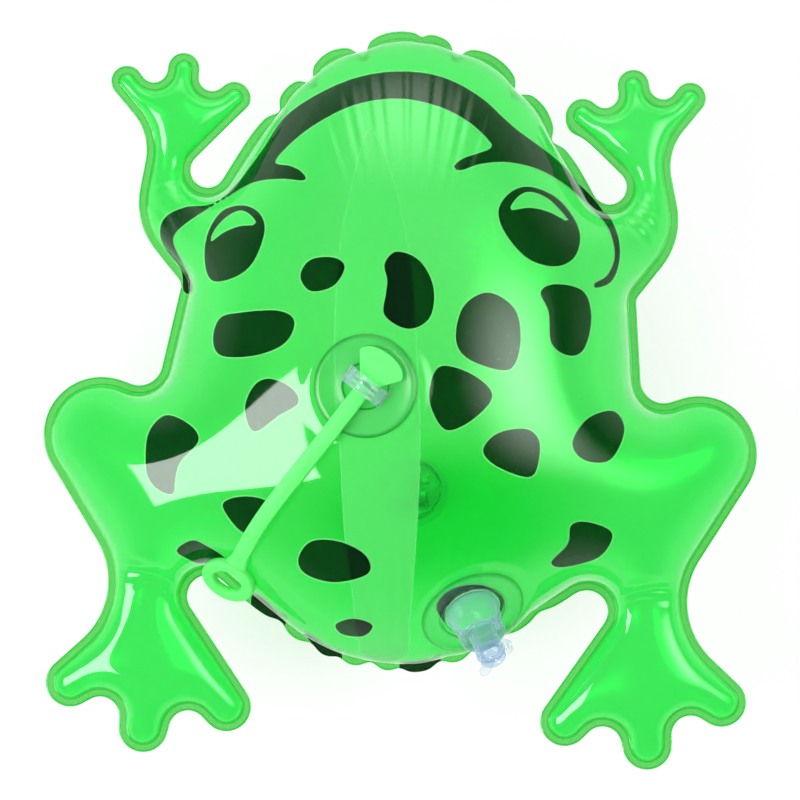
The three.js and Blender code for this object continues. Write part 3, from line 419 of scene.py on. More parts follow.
def depth_inside(plan, corners):
    loop = smooth_loop(corners)
    away = np.full(len(plan), 1e3)
    for a, b in zip(loop, np.roll(loop, -1, axis=0)):
        side = b - a
        share = np.clip(((plan - a) @ side) / (side @ side + 1e-9), 0, 1)
        away = np.minimum(away, np.hypot(*(plan - a - share[:, None] * side).T))
    return np.where(is_inside(plan, loop), away, -away)


def ink_depth(plan):
    ink = np.full(len(plan), UNPRINTED)
    for corners in INK:
        ink = np.maximum(ink, depth_inside(plan, corners))
    for corners in OPEN:
        ink = np.minimum(ink, -depth_inside(plan, corners))
    return ink


# The film's faint milkiness is painted stronger over the head and shoulders, a painted reflection, and is
# taken out behind the strap, where the deeper green it leaves is painted shade. A leaf-shaped band from
# head to rear is cloudier and hides what lies under it.
PAINTED_SHEEN_AT, PAINTED_SHEEN_REACH, PAINTED_SHEEN_GAIN = (25, 52), 78, 1.9
PAINTED_SHADE_AT, PAINTED_SHADE_REACH = (15, -43), (50, 27)
LEAF = [
    (-13, 98.5), (-18, 78.5), (-22, 58), (-24, 29), (-23.6, -0.5), (-22.2, -18.5), (-20.9, -46),
    (-18.8, -64), (-13.7, -99), (1.6, -97.5), (3.1, -84.5), (4.9, -61.5), (6.3, -38.5), (7, -18.5),
    (6.6, -0.5), (4.8, 35.5), (3, 53.5), (-2, 78.5), (-8.5, 96.5),
]


# The film's milkiness, with a painted sheen over the head and shoulders and taken out behind the strap as
# painted shade.
def painted_sheen_and_shade_on(plan):
    haze_with_painted_sheen_and_shade = 1 + PAINTED_SHEEN_GAIN * np.exp(-(((plan - np.array(PAINTED_SHEEN_AT)) / PAINTED_SHEEN_REACH) ** 2).sum(axis=1))
    painted_shade = np.exp(-(((plan - np.array(PAINTED_SHADE_AT)) / np.array(PAINTED_SHADE_REACH)) ** 2).sum(axis=1) ** 2)
    return haze_with_painted_sheen_and_shade * (1 - painted_shade)


def select_only(piece):
    bpy.ops.object.select_all(action="DESELECT")
    piece.select_set(True)
    bpy.context.view_layer.objects.active = piece


def film_panel(name, faces, shape, marks):
    mesh = bpy.data.meshes.new(name)
    mesh.from_pydata((shape * MM).tolist(), [], faces.tolist())
    for mark, values in marks.items():
        mesh.attributes.new(mark, "FLOAT", "POINT").data.foreach_set("value", values.astype(np.float32))
    panel = bpy.data.objects.new(name, mesh)
    bpy.context.collection.objects.link(panel)
    select_only(panel)
    wall = panel.modifiers.new("film", "SOLIDIFY")
    wall.thickness = FILM * MM
    wall.offset = -1
    bpy.ops.object.modifier_apply(modifier=wall.name)
    bpy.ops.object.shade_smooth()
    return panel


def valve_hole():
    side = VALVE_AXIS.orthogonal().normalized()
    up = VALVE_AXIS.cross(side)
    loop = []
    for angle in np.linspace(0, 2 * math.pi, HOLE_CORNERS, False):
        corner = VALVE_SEAT + (side * math.cos(angle) + up * math.sin(angle)) * FILM_HOLE
        loop.append(tuple(corner.xy - MIDDLE))
    return np.array(loop)


def blown_panel(name, step, hole, pads, facing):
    plan, faces = plan_mesh(step, hole)
    rim = nearest(plan, outline_loop(0))
    height = swell(plan, faces, rim)
    if facing > 0:
        height = gathered(plan, creased(plan, flattened(plan, height)), rim)
    skin = WELD_GAP / 2 + FILM
    for seat, axis, radius in pads:
        below = seat - axis * (SEAT_FIT if facing > 0 else SEAT_FIT + FILM)
        height = pad_blend(plan, height, below, axis, radius, lambda z: facing * (z - SEAM_HEIGHT) - skin)
    if facing < 0:
        flat = CROWN - BELLY_FLAT
        height = np.maximum(flat - BELLY_EASE * np.logaddexp(0, (flat - height) / BELLY_EASE), 0)
    height[rim < HELD_RIM] = 0
    shape = np.column_stack([plan, facing * (skin + height)])
    shape = puckered(shape, height)
    shape += np.array([MIDDLE.x, MIDDLE.y, SEAM_HEIGHT])
    ink = leaf = np.full(len(plan), UNPRINTED)
    if facing > 0:
        ink, leaf = ink_depth(plan), depth_inside(plan, LEAF)
    marks = {"rim": rim, "ink": ink, "haze_with_painted_sheen_and_shade": painted_sheen_and_shade_on(plan), "leaf": leaf}
    return film_panel(name, faces[:, ::facing], shape, marks)


no_hole = np.zeros((0, 2))
back_pads = [(ANCHOR_SEAT, ANCHOR_AXIS, ANCHOR_PAD), (VALVE_SEAT, VALVE_AXIS, VALVE_PAD)]
back_film = blown_panel("back_film", BACK_STEP, valve_hole(), back_pads, 1)
belly_film = blown_panel("belly_film", BELLY_STEP, no_hole, [(POCKET_SEAT, POCKET_AXIS, POCKET_PAD)], -1)

# Soft PVC film, calendered: clear enough to see through, tinted green in the mass, with a wet gloss and a
# faint orange peel. Where two films are welded the colour is paler, with a dark line at the weld and the cut.
FILM_TINT = "#A2FBC0"
RIM_TINT = "#CDF5CC"
LINE_TINT = "#98F3A8"
FILM_BODY = "#BCFFC8"
HALO_BODY = "#9CFAA4"
INK_BODY = "#03120A"
LEAF_BODY = "#66DB77"
WHITE = "#FFFFFF"
FILM_SHARE, HALO_SHARE, LEAF_SHARE = 0.045, 0.3, 0.45
INK_SHARE, INK_LEAF_SHARE, PINHOLE_SHARE = 0.74, 0.86, 0.5
BACK_ROUGH, BELLY_ROUGH, BODY_ROUGH = 0.05, 0.2, 0.5
PVC_IOR, FILM_SHINE = 1.53, 0.04
# Where each line begins to show and is full, in millimetres from the cut, the weld or the print's edge.
CUT_LINE, WELD_LINE, WELD_LINE_INSET = (0.9, 0.6), (0.5, 0.25), 0.35
RIM_EDGE = (WELD_WIDTH + 0.1, WELD_WIDTH - 0.2)
INK_EDGE, HALO_EDGE, LEAF_EDGE = (-0.12, 0.12), (-0.6, -0.3), (-0.35, 0.35)
# The ink's pinholes and the film's peel are finer than this, and are drawn coarser so that they show.
PINHOLE_MM, PINHOLE_LEVEL = 0.7, (0.74, 0.8)
PEEL_MM, PEEL_STRENGTH, PEEL_DEPTH = 9, 0.05, 0.2


def colour(hexa):
    levels = [int(hexa[i:i + 2], 16) / 255 for i in (1, 3, 5)]
    return [v / 12.92 if v <= 0.04045 else ((v + 0.055) / 1.055) ** 2.4 for v in levels] + [1]


def add(tree, kind, settings=None, inputs=None):
    made = tree.nodes.new("ShaderNode" + kind)
    for key, value in (settings or {}).items():
        setattr(made, key, value)
    for key, value in (inputs or {}).items():
        if isinstance(value, bpy.types.Node):
            value = value.outputs[0]
        if isinstance(value, bpy.types.NodeSocket):
            tree.links.new(value, made.inputs[key])
        else:
            made.inputs[key].default_value = value
    return made


def fresh_material(name):
    material = bpy.data.materials.new(name)
    material.use_nodes = True
    material.node_tree.nodes.clear()
    return material, material.node_tree


def schlick(tree, head_on, bump):
    facing = add(tree, "LayerWeight", {}, {"Blend": 0.5, "Normal": bump}).outputs["Facing"]
    steep = add(tree, "Math", {"operation": "POWER"}, {0: facing, 1: 5.0})
    return add(tree, "Math", {"operation": "MULTIPLY_ADD"}, {0: steep, 1: 1 - head_on, 2: head_on})


def film_material(name, rough):
    material, tree = fresh_material(name)
    rim = add(tree, "Attribute", {"attribute_name": "rim"}).outputs["Fac"]
    ink = add(tree, "Attribute", {"attribute_name": "ink"}).outputs["Fac"]
    cut = add(tree, "MapRange", {}, {"Value": rim, "From Min": CUT_LINE[0], "From Max": CUT_LINE[1]})
    off_weld = add(tree, "Math", {"operation": "SUBTRACT"}, {0: rim, 1: WELD_WIDTH - WELD_LINE_INSET})
    near_weld = add(tree, "Math", {"operation": "ABSOLUTE"}, {0: off_weld})
    weld = add(tree, "MapRange", {}, {"Value": near_weld, "From Min": WELD_LINE[0], "From Max": WELD_LINE[1]})
    line = add(tree, "Math", {"operation": "MAXIMUM"}, {0: cut, 1: weld})
    inked = add(tree, "MapRange", {}, {"Value": ink, "From Min": INK_EDGE[0], "From Max": INK_EDGE[1]})
    halo = add(tree, "MapRange", {}, {"Value": ink, "From Min": HALO_EDGE[0], "From Max": HALO_EDGE[1]})
    flat = add(tree, "MapRange", {}, {"Value": rim, "From Min": RIM_EDGE[0], "From Max": RIM_EDGE[1]})
    welded = add(tree, "MixRGB", {}, {"Fac": flat, "Color1": colour(FILM_TINT), "Color2": colour(RIM_TINT)})
    tint = add(tree, "MixRGB", {}, {"Fac": line, "Color1": welded, "Color2": colour(LINE_TINT)})
    leaf = add(tree, "Attribute", {"attribute_name": "leaf"}).outputs["Fac"]
    banded = add(tree, "MapRange", {}, {"Value": leaf, "From Min": LEAF_EDGE[0], "From Max": LEAF_EDGE[1]})
    cloudy = add(tree, "MixRGB", {}, {
        "Fac": banded, "Color1": colour(FILM_BODY), "Color2": colour(LEAF_BODY)})
    edged = add(tree, "MixRGB", {}, {"Fac": halo, "Color1": cloudy, "Color2": colour(HALO_BODY)})
    face = add(tree, "MixRGB", {}, {"Fac": inked, "Color1": edged, "Color2": colour(INK_BODY)})
    place = add(tree, "TexCoord").outputs["Object"]
    # Milky share, painted up over the head and shoulders as a sheen and down behind the strap as shade.
    haze_with_painted_sheen_and_shade = add(tree, "Attribute", {"attribute_name": "haze_with_painted_sheen_and_shade"}).outputs["Fac"]
    body_share_with_painted_sheen = add(tree, "Math", {"operation": "MULTIPLY"}, {0: haze_with_painted_sheen_and_shade, 1: FILM_SHARE})
    body_share_with_painted_sheen = add(tree, "Mix", {}, {"Factor": banded, "A": body_share_with_painted_sheen, "B": LEAF_SHARE})
    dust = add(tree, "TexNoise", {}, {"Vector": place, "Scale": 1 / (PINHOLE_MM * MM), "Detail": 0.0})
    pinhole = add(tree, "MapRange", {}, {
        "Value": dust, "From Min": PINHOLE_LEVEL[0], "From Max": PINHOLE_LEVEL[1]})
    cover = add(tree, "MapRange", {}, {"Value": banded, "To Min": INK_SHARE, "To Max": INK_LEAF_SHARE})
    cover = add(tree, "Mix", {}, {"Factor": pinhole, "A": cover, "B": PINHOLE_SHARE})
    share = add(tree, "Mix", {}, {"Factor": halo, "A": body_share_with_painted_sheen, "B": HALO_SHARE})
    share = add(tree, "Mix", {}, {"Factor": inked, "A": share, "B": cover})
    peel = add(tree, "TexNoise", {}, {"Vector": place, "Scale": 1 / (PEEL_MM * MM), "Detail": 2.0})
    bump = add(tree, "Bump", {}, {"Height": peel, "Strength": PEEL_STRENGTH, "Distance": PEEL_DEPTH * MM})
    through = add(tree, "BsdfTransparent", {}, {"Color": tint})
    body = add(tree, "BsdfPrincipled", {}, {
        "Base Color": face, "Roughness": BODY_ROUGH, "IOR": PVC_IOR, "Specular IOR Level": 0.0,
        "Normal": bump})
    film = add(tree, "MixShader", {}, {0: share, 1: through, 2: body})
    gloss = add(tree, "BsdfGlossy", {}, {"Color": colour(WHITE), "Roughness": rough, "Normal": bump})
    wet = add(tree, "MixShader", {}, {0: schlick(tree, FILM_SHINE, bump), 1: film, 2: gloss})
    add(tree, "OutputMaterial", {}, {"Surface": wet})
    return material


back_green = film_material("green_pvc_film_glossy", BACK_ROUGH)
belly_green = film_material("green_pvc_film_satin", BELLY_ROUGH)
for panel, node, green in ((back_film, "top_panel", back_green), (belly_film, "bottom_panel", belly_green)):
    panel.data.materials.append(green)
    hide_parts(node)
    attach(panel, "frog")

# Strap anchor. A disc of clear soft vinyl, injection moulded and welded to the back, with a hole in its
# middle and a ribbed bridge over the hole that the strap is threaded under.
ANCHOR_SEAT_X = Vector((0.9961, -0.0005, 0.0879))
DISC_RADIUS, DISC_HOLE, DISC_THICKNESS = 19, 8, 1.2
BRIDGE_TURN = math.radians(-37)
BRIDGE_WIDTH, BRIDGE_WALL, BRIDGE_CLEAR, BRIDGE_SPAN, BRIDGE_FOOT = 6.2, 1.5, 5.4, 8.8, 1.12
BRIDGE_RIBS, RIB_DEPTH = 3, 0.45
TURN_STEPS, BRIDGE_STEPS = 96, 40
MERGE_ROOM = 0.002
BEVEL_ANGLE, SMOOTH_ANGLE = math.radians(28), math.radians(40)
# A step in a disc gets a painted line of shade where its face leans more than this from flat.
FLAT_FACE, STEEP_FACE = 0.98, 0.88


def seat_matrix(place, x_axis, z_axis):
    z_axis = z_axis.normalized()
    y_axis = z_axis.cross(x_axis).normalized()
    turn = Matrix((y_axis.cross(z_axis), y_axis, z_axis)).transposed()
    return Matrix.Translation(place * MM) @ turn.to_4x4() @ Matrix.Scale(MM, 4)


def settle(piece, seat):
    select_only(piece)
    piece.matrix_world = seat @ piece.matrix_world
    bpy.ops.object.transform_apply(location=True, rotation=True, scale=True)


def round_edges(piece, width, segments=3):
    select_only(piece)
    bevel = piece.modifiers.new("rounding", "BEVEL")
    bevel.width, bevel.segments = width, segments
    bevel.limit_method, bevel.angle_limit = "ANGLE", BEVEL_ANGLE
    bpy.ops.object.modifier_apply(modifier=bevel.name)
    bpy.ops.object.shade_smooth_by_angle(angle=SMOOTH_ANGLE)


def just_added(name):
    piece = bpy.context.object
    piece.name = piece.data.name = name
    return piece


def edit_all():
    bpy.ops.object.mode_set(mode="EDIT")
    bpy.ops.mesh.select_all(action="SELECT")


def face_outwards():
    bpy.ops.mesh.select_all(action="SELECT")
    bpy.ops.mesh.normals_make_consistent(inside=False)
    bpy.ops.object.mode_set(mode="OBJECT")


def turned_piece(name, profile, rounding):
    bpy.ops.object.select_all(action="DESELECT")
    bpy.ops.mesh.primitive_circle_add(vertices=len(profile), radius=1)
    piece = just_added(name)
    for corner, (radius, height) in zip(piece.data.vertices, profile):
        corner.co = (radius, 0, height)
    edit_all()
    bpy.ops.mesh.spin(steps=TURN_STEPS, angle=2 * math.pi, center=(0, 0, 0), axis=(0, 0, 1))
    bpy.ops.mesh.select_all(action="SELECT")
    bpy.ops.mesh.remove_doubles(threshold=MERGE_ROOM)
    bpy.ops.mesh.delete_loose()
    face_outwards()
    round_edges(piece, rounding)
    return piece


def mark_painted_lines(piece, strength):
    lines = [strength(corner) for corner in piece.data.vertices]
    piece.data.attributes.new("line", "FLOAT", "POINT").data.foreach_set("value", lines)


def steepness(corner):
    return min(1, max(0, (FLAT_FACE - abs(corner.normal.z)) / (FLAT_FACE - STEEP_FACE)))


def bridge_piece():
    bpy.ops.object.select_all(action="DESELECT")
    bpy.ops.mesh.primitive_grid_add(x_subdivisions=4 * BRIDGE_RIBS, y_subdivisions=2, size=2)
    bridge = just_added("anchor_bridge")
    inner, outer = BRIDGE_CLEAR - DISC_THICKNESS / 2, BRIDGE_CLEAR + BRIDGE_WALL - DISC_THICKNESS / 2
    middle = (inner + outer) / 2
    for corner in bridge.data.vertices:
        across, out = corner.co.x, corner.co.y
        groove = RIB_DEPTH * 0.5 * (1 + math.cos(across * BRIDGE_RIBS * math.pi))
        reach = inner if out < -0.5 else outer - groove if out > 0.5 else middle
        corner.co = (reach, across * BRIDGE_WIDTH / 2, 0)
    edit_all()
    bpy.ops.mesh.spin(steps=BRIDGE_STEPS, angle=math.pi, center=(0, 0, 0), axis=(0, 1, 0))
    bpy.ops.mesh.select_all(action="SELECT")
    bpy.ops.transform.resize(value=(BRIDGE_SPAN / outer, 1, 1))
    bpy.ops.transform.translate(value=(0, 0, DISC_THICKNESS / 2))
    bpy.ops.mesh.remove_doubles(threshold=MERGE_ROOM)
    face_outwards()
    # The grooves run out towards the bridge's feet, which are a little wider.
    for corner in bridge.data.vertices:
        flat, high = corner.co.x * outer / BRIDGE_SPAN, corner.co.z - DISC_THICKNESS / 2
        reach = math.hypot(flat, high)
        if reach > middle + 0.1:
            filled = (outer - (outer - reach) * max(high, 0) / reach) / reach
            corner.co.x *= filled
            corner.co.z = high * filled + DISC_THICKNESS / 2
        corner.co.y *= 1 + (BRIDGE_FOOT - 1) * (corner.co.x / BRIDGE_SPAN) ** 4
    bpy.ops.object.shade_smooth_by_angle(angle=SMOOTH_ANGLE)
    bridge.matrix_world = Matrix.Rotation(BRIDGE_TURN, 4, "Z")
    return bridge


anchor_seat = seat_matrix(ANCHOR_SEAT, ANCHOR_SEAT_X, ANCHOR_AXIS)
# A turned piece's profile is radius and height at each corner of a cut through it.
anchor_disc = turned_piece("anchor_disc", [
    (DISC_HOLE, 0), (DISC_RADIUS, 0), (DISC_RADIUS, 0.45), (DISC_RADIUS - 0.7, 0.75),
    (DISC_RADIUS - 1.6, DISC_THICKNESS), (DISC_RADIUS - 2.4, DISC_THICKNESS), (DISC_RADIUS - 2.9, 0.95),
    (DISC_HOLE + 1.6, 0.95), (DISC_HOLE + 1.1, DISC_THICKNESS), (DISC_HOLE + 0.8, DISC_THICKNESS),
    (DISC_HOLE, 0.4)], rounding=0.15)
mark_painted_lines(anchor_disc, steepness)
anchor_bridge = bridge_piece()
for piece in (anchor_disc, anchor_bridge):
    settle(piece, anchor_seat)

# Clear plasticised PVC, moulded: glass clear with a cold blue cast and a soft gloss. The thin welded discs
# show only as fine painted lines of shade along their steps; the thicker mouldings get painted light and
# shade in their edges, bluer and cloudier where they turn from view.
VINYL_TINT = "#FBFDFE"
STEP_SHADE_TINT = "#9CCFAE"
PAINTED_BEAD_LIGHT_BLUE = "#D6E4F2"
PAINTED_EDGE_BLUE = "#86A9CE"
VINYL_BODY = "#D4E6FB"
VINYL_FLOW_MM, VINYL_FLOW_STRENGTH, VINYL_FLOW_DEPTH = 6, 0.04, 0.3
VINYL_SHINE = 0.045


def vinyl_material(name, middle_share, edge_share, edge_power, painted_line_tint, painted_line_share, rough):
    material, tree = fresh_material(name)
    place = add(tree, "TexCoord").outputs["Object"]
    flow = add(tree, "TexNoise", {}, {"Vector": place, "Scale": 1 / (VINYL_FLOW_MM * MM), "Detail": 3.0})
    bump = add(tree, "Bump", {}, {
        "Height": flow, "Strength": VINYL_FLOW_STRENGTH, "Distance": VINYL_FLOW_DEPTH * MM})
    facing = add(tree, "LayerWeight", {}, {"Blend": 0.5, "Normal": bump}).outputs["Facing"]
    edge = add(tree, "Math", {"operation": "POWER"}, {0: facing, 1: edge_power})
    line = add(tree, "Attribute", {"attribute_name": "line"}).outputs["Fac"]
    # Painted light and shade: edges turned from view are bluer and cloudier, and steps and beads get painted
    # lines.
    tint = add(tree, "MixRGB", {}, {"Fac": edge, "Color1": colour(VINYL_TINT), "Color2": colour(PAINTED_EDGE_BLUE)})
    tint = add(tree, "MixRGB", {}, {"Fac": line, "Color1": tint, "Color2": colour(painted_line_tint)})
    share = add(tree, "MapRange", {}, {"Value": edge, "To Min": middle_share, "To Max": edge_share})
    share = add(tree, "Math", {"operation": "MULTIPLY_ADD"}, {0: line, 1: painted_line_share, 2: share})
    through = add(tree, "BsdfTransparent", {}, {"Color": tint})
    body = add(tree, "BsdfPrincipled", {}, {
        "Base Color": colour(VINYL_BODY), "Roughness": BODY_ROUGH, "IOR": PVC_IOR, "Specular IOR Level": 0.0,
        "Normal": bump})
    vinyl = add(tree, "MixShader", {}, {0: share, 1: through, 2: body})
    gloss = add(tree, "BsdfGlossy", {}, {"Color": colour(WHITE), "Roughness": rough, "Normal": bump})
    inner = add(tree, "NewGeometry").outputs["Backfacing"]
    outer = add(tree, "Math", {"operation": "SUBTRACT"}, {0: 1.0, 1: inner})
    shine = add(tree, "Math", {"operation": "MULTIPLY"}, {0: schlick(tree, VINYL_SHINE, bump), 1: outer})
    shining = add(tree, "MixShader", {}, {0: shine, 1: vinyl, 2: gloss})
    add(tree, "OutputMaterial", {}, {"Surface": shining})
    return material


welded_vinyl = vinyl_material(
    "clear_welded_vinyl", middle_share=0.003, edge_share=0.05, edge_power=4.0,
    painted_line_tint=STEP_SHADE_TINT, painted_line_share=0.0, rough=0.35)
clear_vinyl = vinyl_material(
    "clear_moulded_vinyl", middle_share=0.012, edge_share=0.75, edge_power=3.0,
    painted_line_tint=PAINTED_BEAD_LIGHT_BLUE, painted_line_share=0.13, rough=0.07)
bridge_vinyl = vinyl_material(
    "ribbed_moulded_vinyl", middle_share=0.09, edge_share=0.75, edge_power=1.8,
    painted_line_tint=PAINTED_BEAD_LIGHT_BLUE, painted_line_share=0.0, rough=0.1)


def dress(piece, material, slot, body, *nodes):
    piece.data.materials.clear()
    piece.data.materials.append(material)
    if nodes:
        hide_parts(*nodes)
    if body:
        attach(piece, body)


dress(anchor_disc, welded_vinyl, "clear_vinyl", "frog", "strap_anchor")
dress(anchor_bridge, bridge_vinyl, "clear_vinyl", "frog")

# Strap, tail and ring. One moulding of stretchy milky rubber: a flat band with a low rib along its middle,
# a ribbed fan at one end that can't slip back under the bridge, and a finger ring at the other.
STRAP_WIDTH, STRAP_THICKNESS = 6.2, 3
STRAP_ROUTE = [
    (-12.76, 5.07, 117.16), (-15.86, 0.97, 116.84), (-19.06, -3.13, 116.56), (-22.16, -7.13, 116.24),
    (-25.16, -11.13, 115.75), (-30.06, -17.23, 113.48), (-34.96, -23.33, 111.27), (-40.76, -30.53, 108.74),
    (-46.46, -37.83, 105.35), (-49.16, -41.43, 103.55), (-51.76, -45.13, 101.15), (-54.36, -49.13, 98.28),
    (-56.76, -53.23, 95.33), (-58.76, -56.63, 91.63), (-60.56, -60.03, 87.89), (-61.46, -61.63, 85.77),
]
STRAP_STEPS, STRAP_SMOOTH_ANGLE = 6, math.radians(50)
# The strap's section, in half widths and half thicknesses.
STRAP_SECTION = [
    (-1, -0.35), (-0.92, -0.7), (-0.75, -0.9), (-0.4, -1), (0, -1), (0.4, -1), (0.75, -0.9), (0.92, -0.7),
    (1, -0.35), (1, 0.25), (0.93, 0.6), (0.78, 0.8), (0.45, 0.84), (0.25, 0.95), (0, 1), (-0.25, 0.95),
    (-0.45, 0.84), (-0.78, 0.8), (-0.93, 0.6), (-1, 0.25),
]
RING_FLARE, RING_FLARE_LENGTH = 1.4, 7
TAIL_START, TAIL_ROOT, TAIL_LENGTH, TAIL_SPREAD = 0.6, 4.5, 13, math.radians(37)
TAIL_THICKNESS, TAIL_CORNER_CUT, TAIL_ROUNDING = 2, 0.13, 0.6
TAIL_RIB, TAIL_RIB_SPACING = 0.07, 4.2
TAIL_COLUMNS, TAIL_ROWS = 40, 28
RING_SEAT, RING_AXIS = Vector((-64.82, -67.70, 77.49)), Vector((-0.3714, -0.6700, 0.6428))
RING_SEAT_X = Vector((-0.3116, -0.5622, -0.7660))
RING_RADIUS, RING_WALL, RING_HEIGHT = 8.1, 5.1, 3.8
RING_CORNERS, RING_FULLNESS = 24, 0.6


def strap_line():
    knots = np.array(STRAP_ROUTE)
    knots = np.concatenate([[2 * knots[0] - knots[1]], knots, [2 * knots[-1] - knots[-2]]])
    line = []
    for p0, p1, p2, p3 in zip(knots, knots[1:], knots[2:], knots[3:]):
        line += [spline_point(p0, p1, p2, p3, t) for t in np.arange(STRAP_STEPS) / STRAP_STEPS]
    return np.array(line + [knots[-2]])


def strap_piece(line):
    length = np.concatenate([[0], np.cumsum(np.linalg.norm(np.diff(line, axis=0), axis=1))])
    ways = np.gradient(line, axis=0)
    corners, faces = [], []
    count = len(STRAP_SECTION)
    for point, way, run in zip(line, ways, length):
        way = Vector(way).normalized()
        side = way.cross(Vector((0, 0, 1))).normalized()
        up = side.cross(way)
        flare = max(0, 1 - (length[-1] - run) / RING_FLARE_LENGTH) ** 2
        wide = STRAP_WIDTH / 2 * (1 + (RING_FLARE - 1) * flare)
        corners += [Vector(point) + side * wide * x + up * STRAP_THICKNESS / 2 * y for x, y in STRAP_SECTION]
    for row in range(len(line) - 1):
        for index in range(count):
            a, b = row * count + index, row * count + (index + 1) % count
            faces.append((a, a + count, b + count, b))
    faces += [tuple(range(count)), tuple(range(len(corners) - 1, len(corners) - count - 1, -1))]
    mesh = bpy.data.meshes.new("elastic_strap_band")
    mesh.from_pydata([corner * MM for corner in corners], [], faces)
    strap = bpy.data.objects.new(mesh.name, mesh)
    bpy.context.collection.objects.link(strap)
    select_only(strap)
    edit_all()
    face_outwards()
    bpy.ops.object.shade_smooth_by_angle(angle=STRAP_SMOOTH_ANGLE)
    return strap


def tail_piece():
    bpy.ops.object.select_all(action="DESELECT")
    bpy.ops.mesh.primitive_grid_add(x_subdivisions=TAIL_COLUMNS, y_subdivisions=TAIL_ROWS, size=2)
    tail = just_added("strap_tail_fan")
    start = TAIL_START - TAIL_ROOT * math.cos(TAIL_SPREAD)
    for corner in tail.data.vertices:
        along, side = (corner.co.x + 1) / 2, abs(corner.co.y)
        turn = corner.co.y * TAIL_SPREAD
        reach = TAIL_ROOT + along * TAIL_LENGTH * (1 - TAIL_CORNER_CUT * side ** 5)
        wave = math.cos(along * TAIL_LENGTH / TAIL_RIB_SPACING * 2 * math.pi)
        high = TAIL_THICKNESS + TAIL_RIB * wave * (1 - side ** 4) * along
        corner.co = (start + reach * math.cos(turn), reach * math.sin(turn), high)
    edit_all()
    bpy.ops.mesh.extrude_region_move(TRANSFORM_OT_translate={"value": (0, 0, -TAIL_THICKNESS)})
    bpy.ops.transform.resize(value=(1, 1, 0), center_override=(0, 0, 0))
    face_outwards()
    round_edges(tail, TAIL_ROUNDING, 4)
    on_disc = Matrix.Translation((0, 0, DISC_THICKNESS + SEAT_FIT))
    tail.matrix_world = Matrix.Rotation(BRIDGE_TURN + math.pi / 2, 4, "Z") @ on_disc
    return tail


def ring_profile():
    loop = []
    for index in range(RING_CORNERS):
        angle = 2 * math.pi * index / RING_CORNERS
        x, z = math.cos(angle), math.sin(angle)
        out = math.copysign(abs(x) ** RING_FULLNESS, x) * RING_WALL / 2
        up = math.copysign(abs(z) ** RING_FULLNESS, z) * RING_HEIGHT / 2
        loop.append((RING_RADIUS + out, up))
    return loop


route = strap_line()
elastic_strap = strap_piece(route)
strap_tail = tail_piece()
settle(strap_tail, anchor_seat)
finger_ring = turned_piece("strap_finger_ring", ring_profile(), rounding=0.05)
settle(finger_ring, seat_matrix(RING_SEAT, RING_SEAT_X, RING_AXIS))

# Thermoplastic rubber, moulded: milky, soft to the light, with a matt satin skin. The green of what shines
# through it is painted into its colour. The grain of its skin is drawn coarser than it is, so that it shows.
RUBBER_FACE = "#6CF47C"
RUBBER_DEEP = "#5AEC6C"
RUBBER_ROUGH, RUBBER_IOR, RUBBER_BODY_SHARE = 0.58, 1.45, 0.9
RUBBER_CLOUD_MM = 5
RUBBER_SKIN_MM, RUBBER_SKIN_STRENGTH, RUBBER_SKIN_DEPTH = 0.8, 0.08, 0.1
RUBBER_GLOW, RUBBER_GLOW_DEPTH = 0.5, 3


def rubber_material():
    material, tree = fresh_material("milky_rubber_moulded")
    place = add(tree, "TexCoord").outputs["Object"]
    cloud = add(tree, "TexNoise", {}, {"Vector": place, "Scale": 1 / (RUBBER_CLOUD_MM * MM), "Detail": 2.0})
    skin = add(tree, "TexNoise", {}, {"Vector": place, "Scale": 1 / (RUBBER_SKIN_MM * MM), "Detail": 2.0})
    bump = add(tree, "Bump", {}, {
        "Height": skin, "Strength": RUBBER_SKIN_STRENGTH, "Distance": RUBBER_SKIN_DEPTH * MM})
    # Its green is painted in, for the green light that shines through it.
    tone = add(tree, "MixRGB", {}, {
        "Fac": cloud, "Color1": colour(RUBBER_DEEP), "Color2": colour(RUBBER_FACE)})
    body = add(tree, "BsdfPrincipled", {}, {
        "Base Color": tone, "Roughness": RUBBER_ROUGH, "IOR": RUBBER_IOR, "Subsurface Weight": RUBBER_GLOW,
        "Subsurface Scale": RUBBER_GLOW_DEPTH * MM, "Subsurface Radius": (0.5, 1.0, 0.5), "Normal": bump})
    through = add(tree, "BsdfTransparent", {}, {"Color": colour(RUBBER_FACE)})
    rubber = add(tree, "MixShader", {}, {0: RUBBER_BODY_SHARE, 1: through, 2: body})
    add(tree, "OutputMaterial", {}, {"Surface": rubber})
    return material


milky_rubber = rubber_material()
dress(strap_tail, milky_rubber, "milky_rubber", "frog", "strap_tail")
dress(finger_ring, milky_rubber, "milky_rubber", "ring", "finger_ring")
dress(elastic_strap, milky_rubber, "milky_rubber", None, "elastic_strap")
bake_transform(elastic_strap)

# Valve. A clear flange is welded over the hole in the film. A tapered stem slides in through it, with a
# neck to blow into, a plug on a tether that closes the neck, and a check flap inside.
VALVE_SEAT_X = Vector((0.9512, 0.1072, -0.2892))
FLANGE_RADIUS, FLANGE_THICKNESS, FLANGE_RECESS, STEM_HOLE = 20, 1.1, 12.6, 10.8
STEM_BASE, STEM_TOP, STEM_HEIGHT, STEM_WALL = 10.4, 8, 13, 1.2
NECK_RADIUS, NECK_BORE, NECK_TOP = 5.2, 3.7, 22
CAP_BOTTOM, CAP_RADIUS, CAP_HEIGHT, SHANK_RADIUS, SHANK = 22.3, 5, 3.2, 3.4, 8
TAB_TURN, TAB_WIDTH, TAB_LENGTH, TAB_THICKNESS = math.radians(-105), 4, 4.6, 1.4
TAB_ROOT, TAB_ROOT_WIDTH, TAB_CORNERS, TAB_ROUNDING = 2.6, 3.2, 24, 0.3
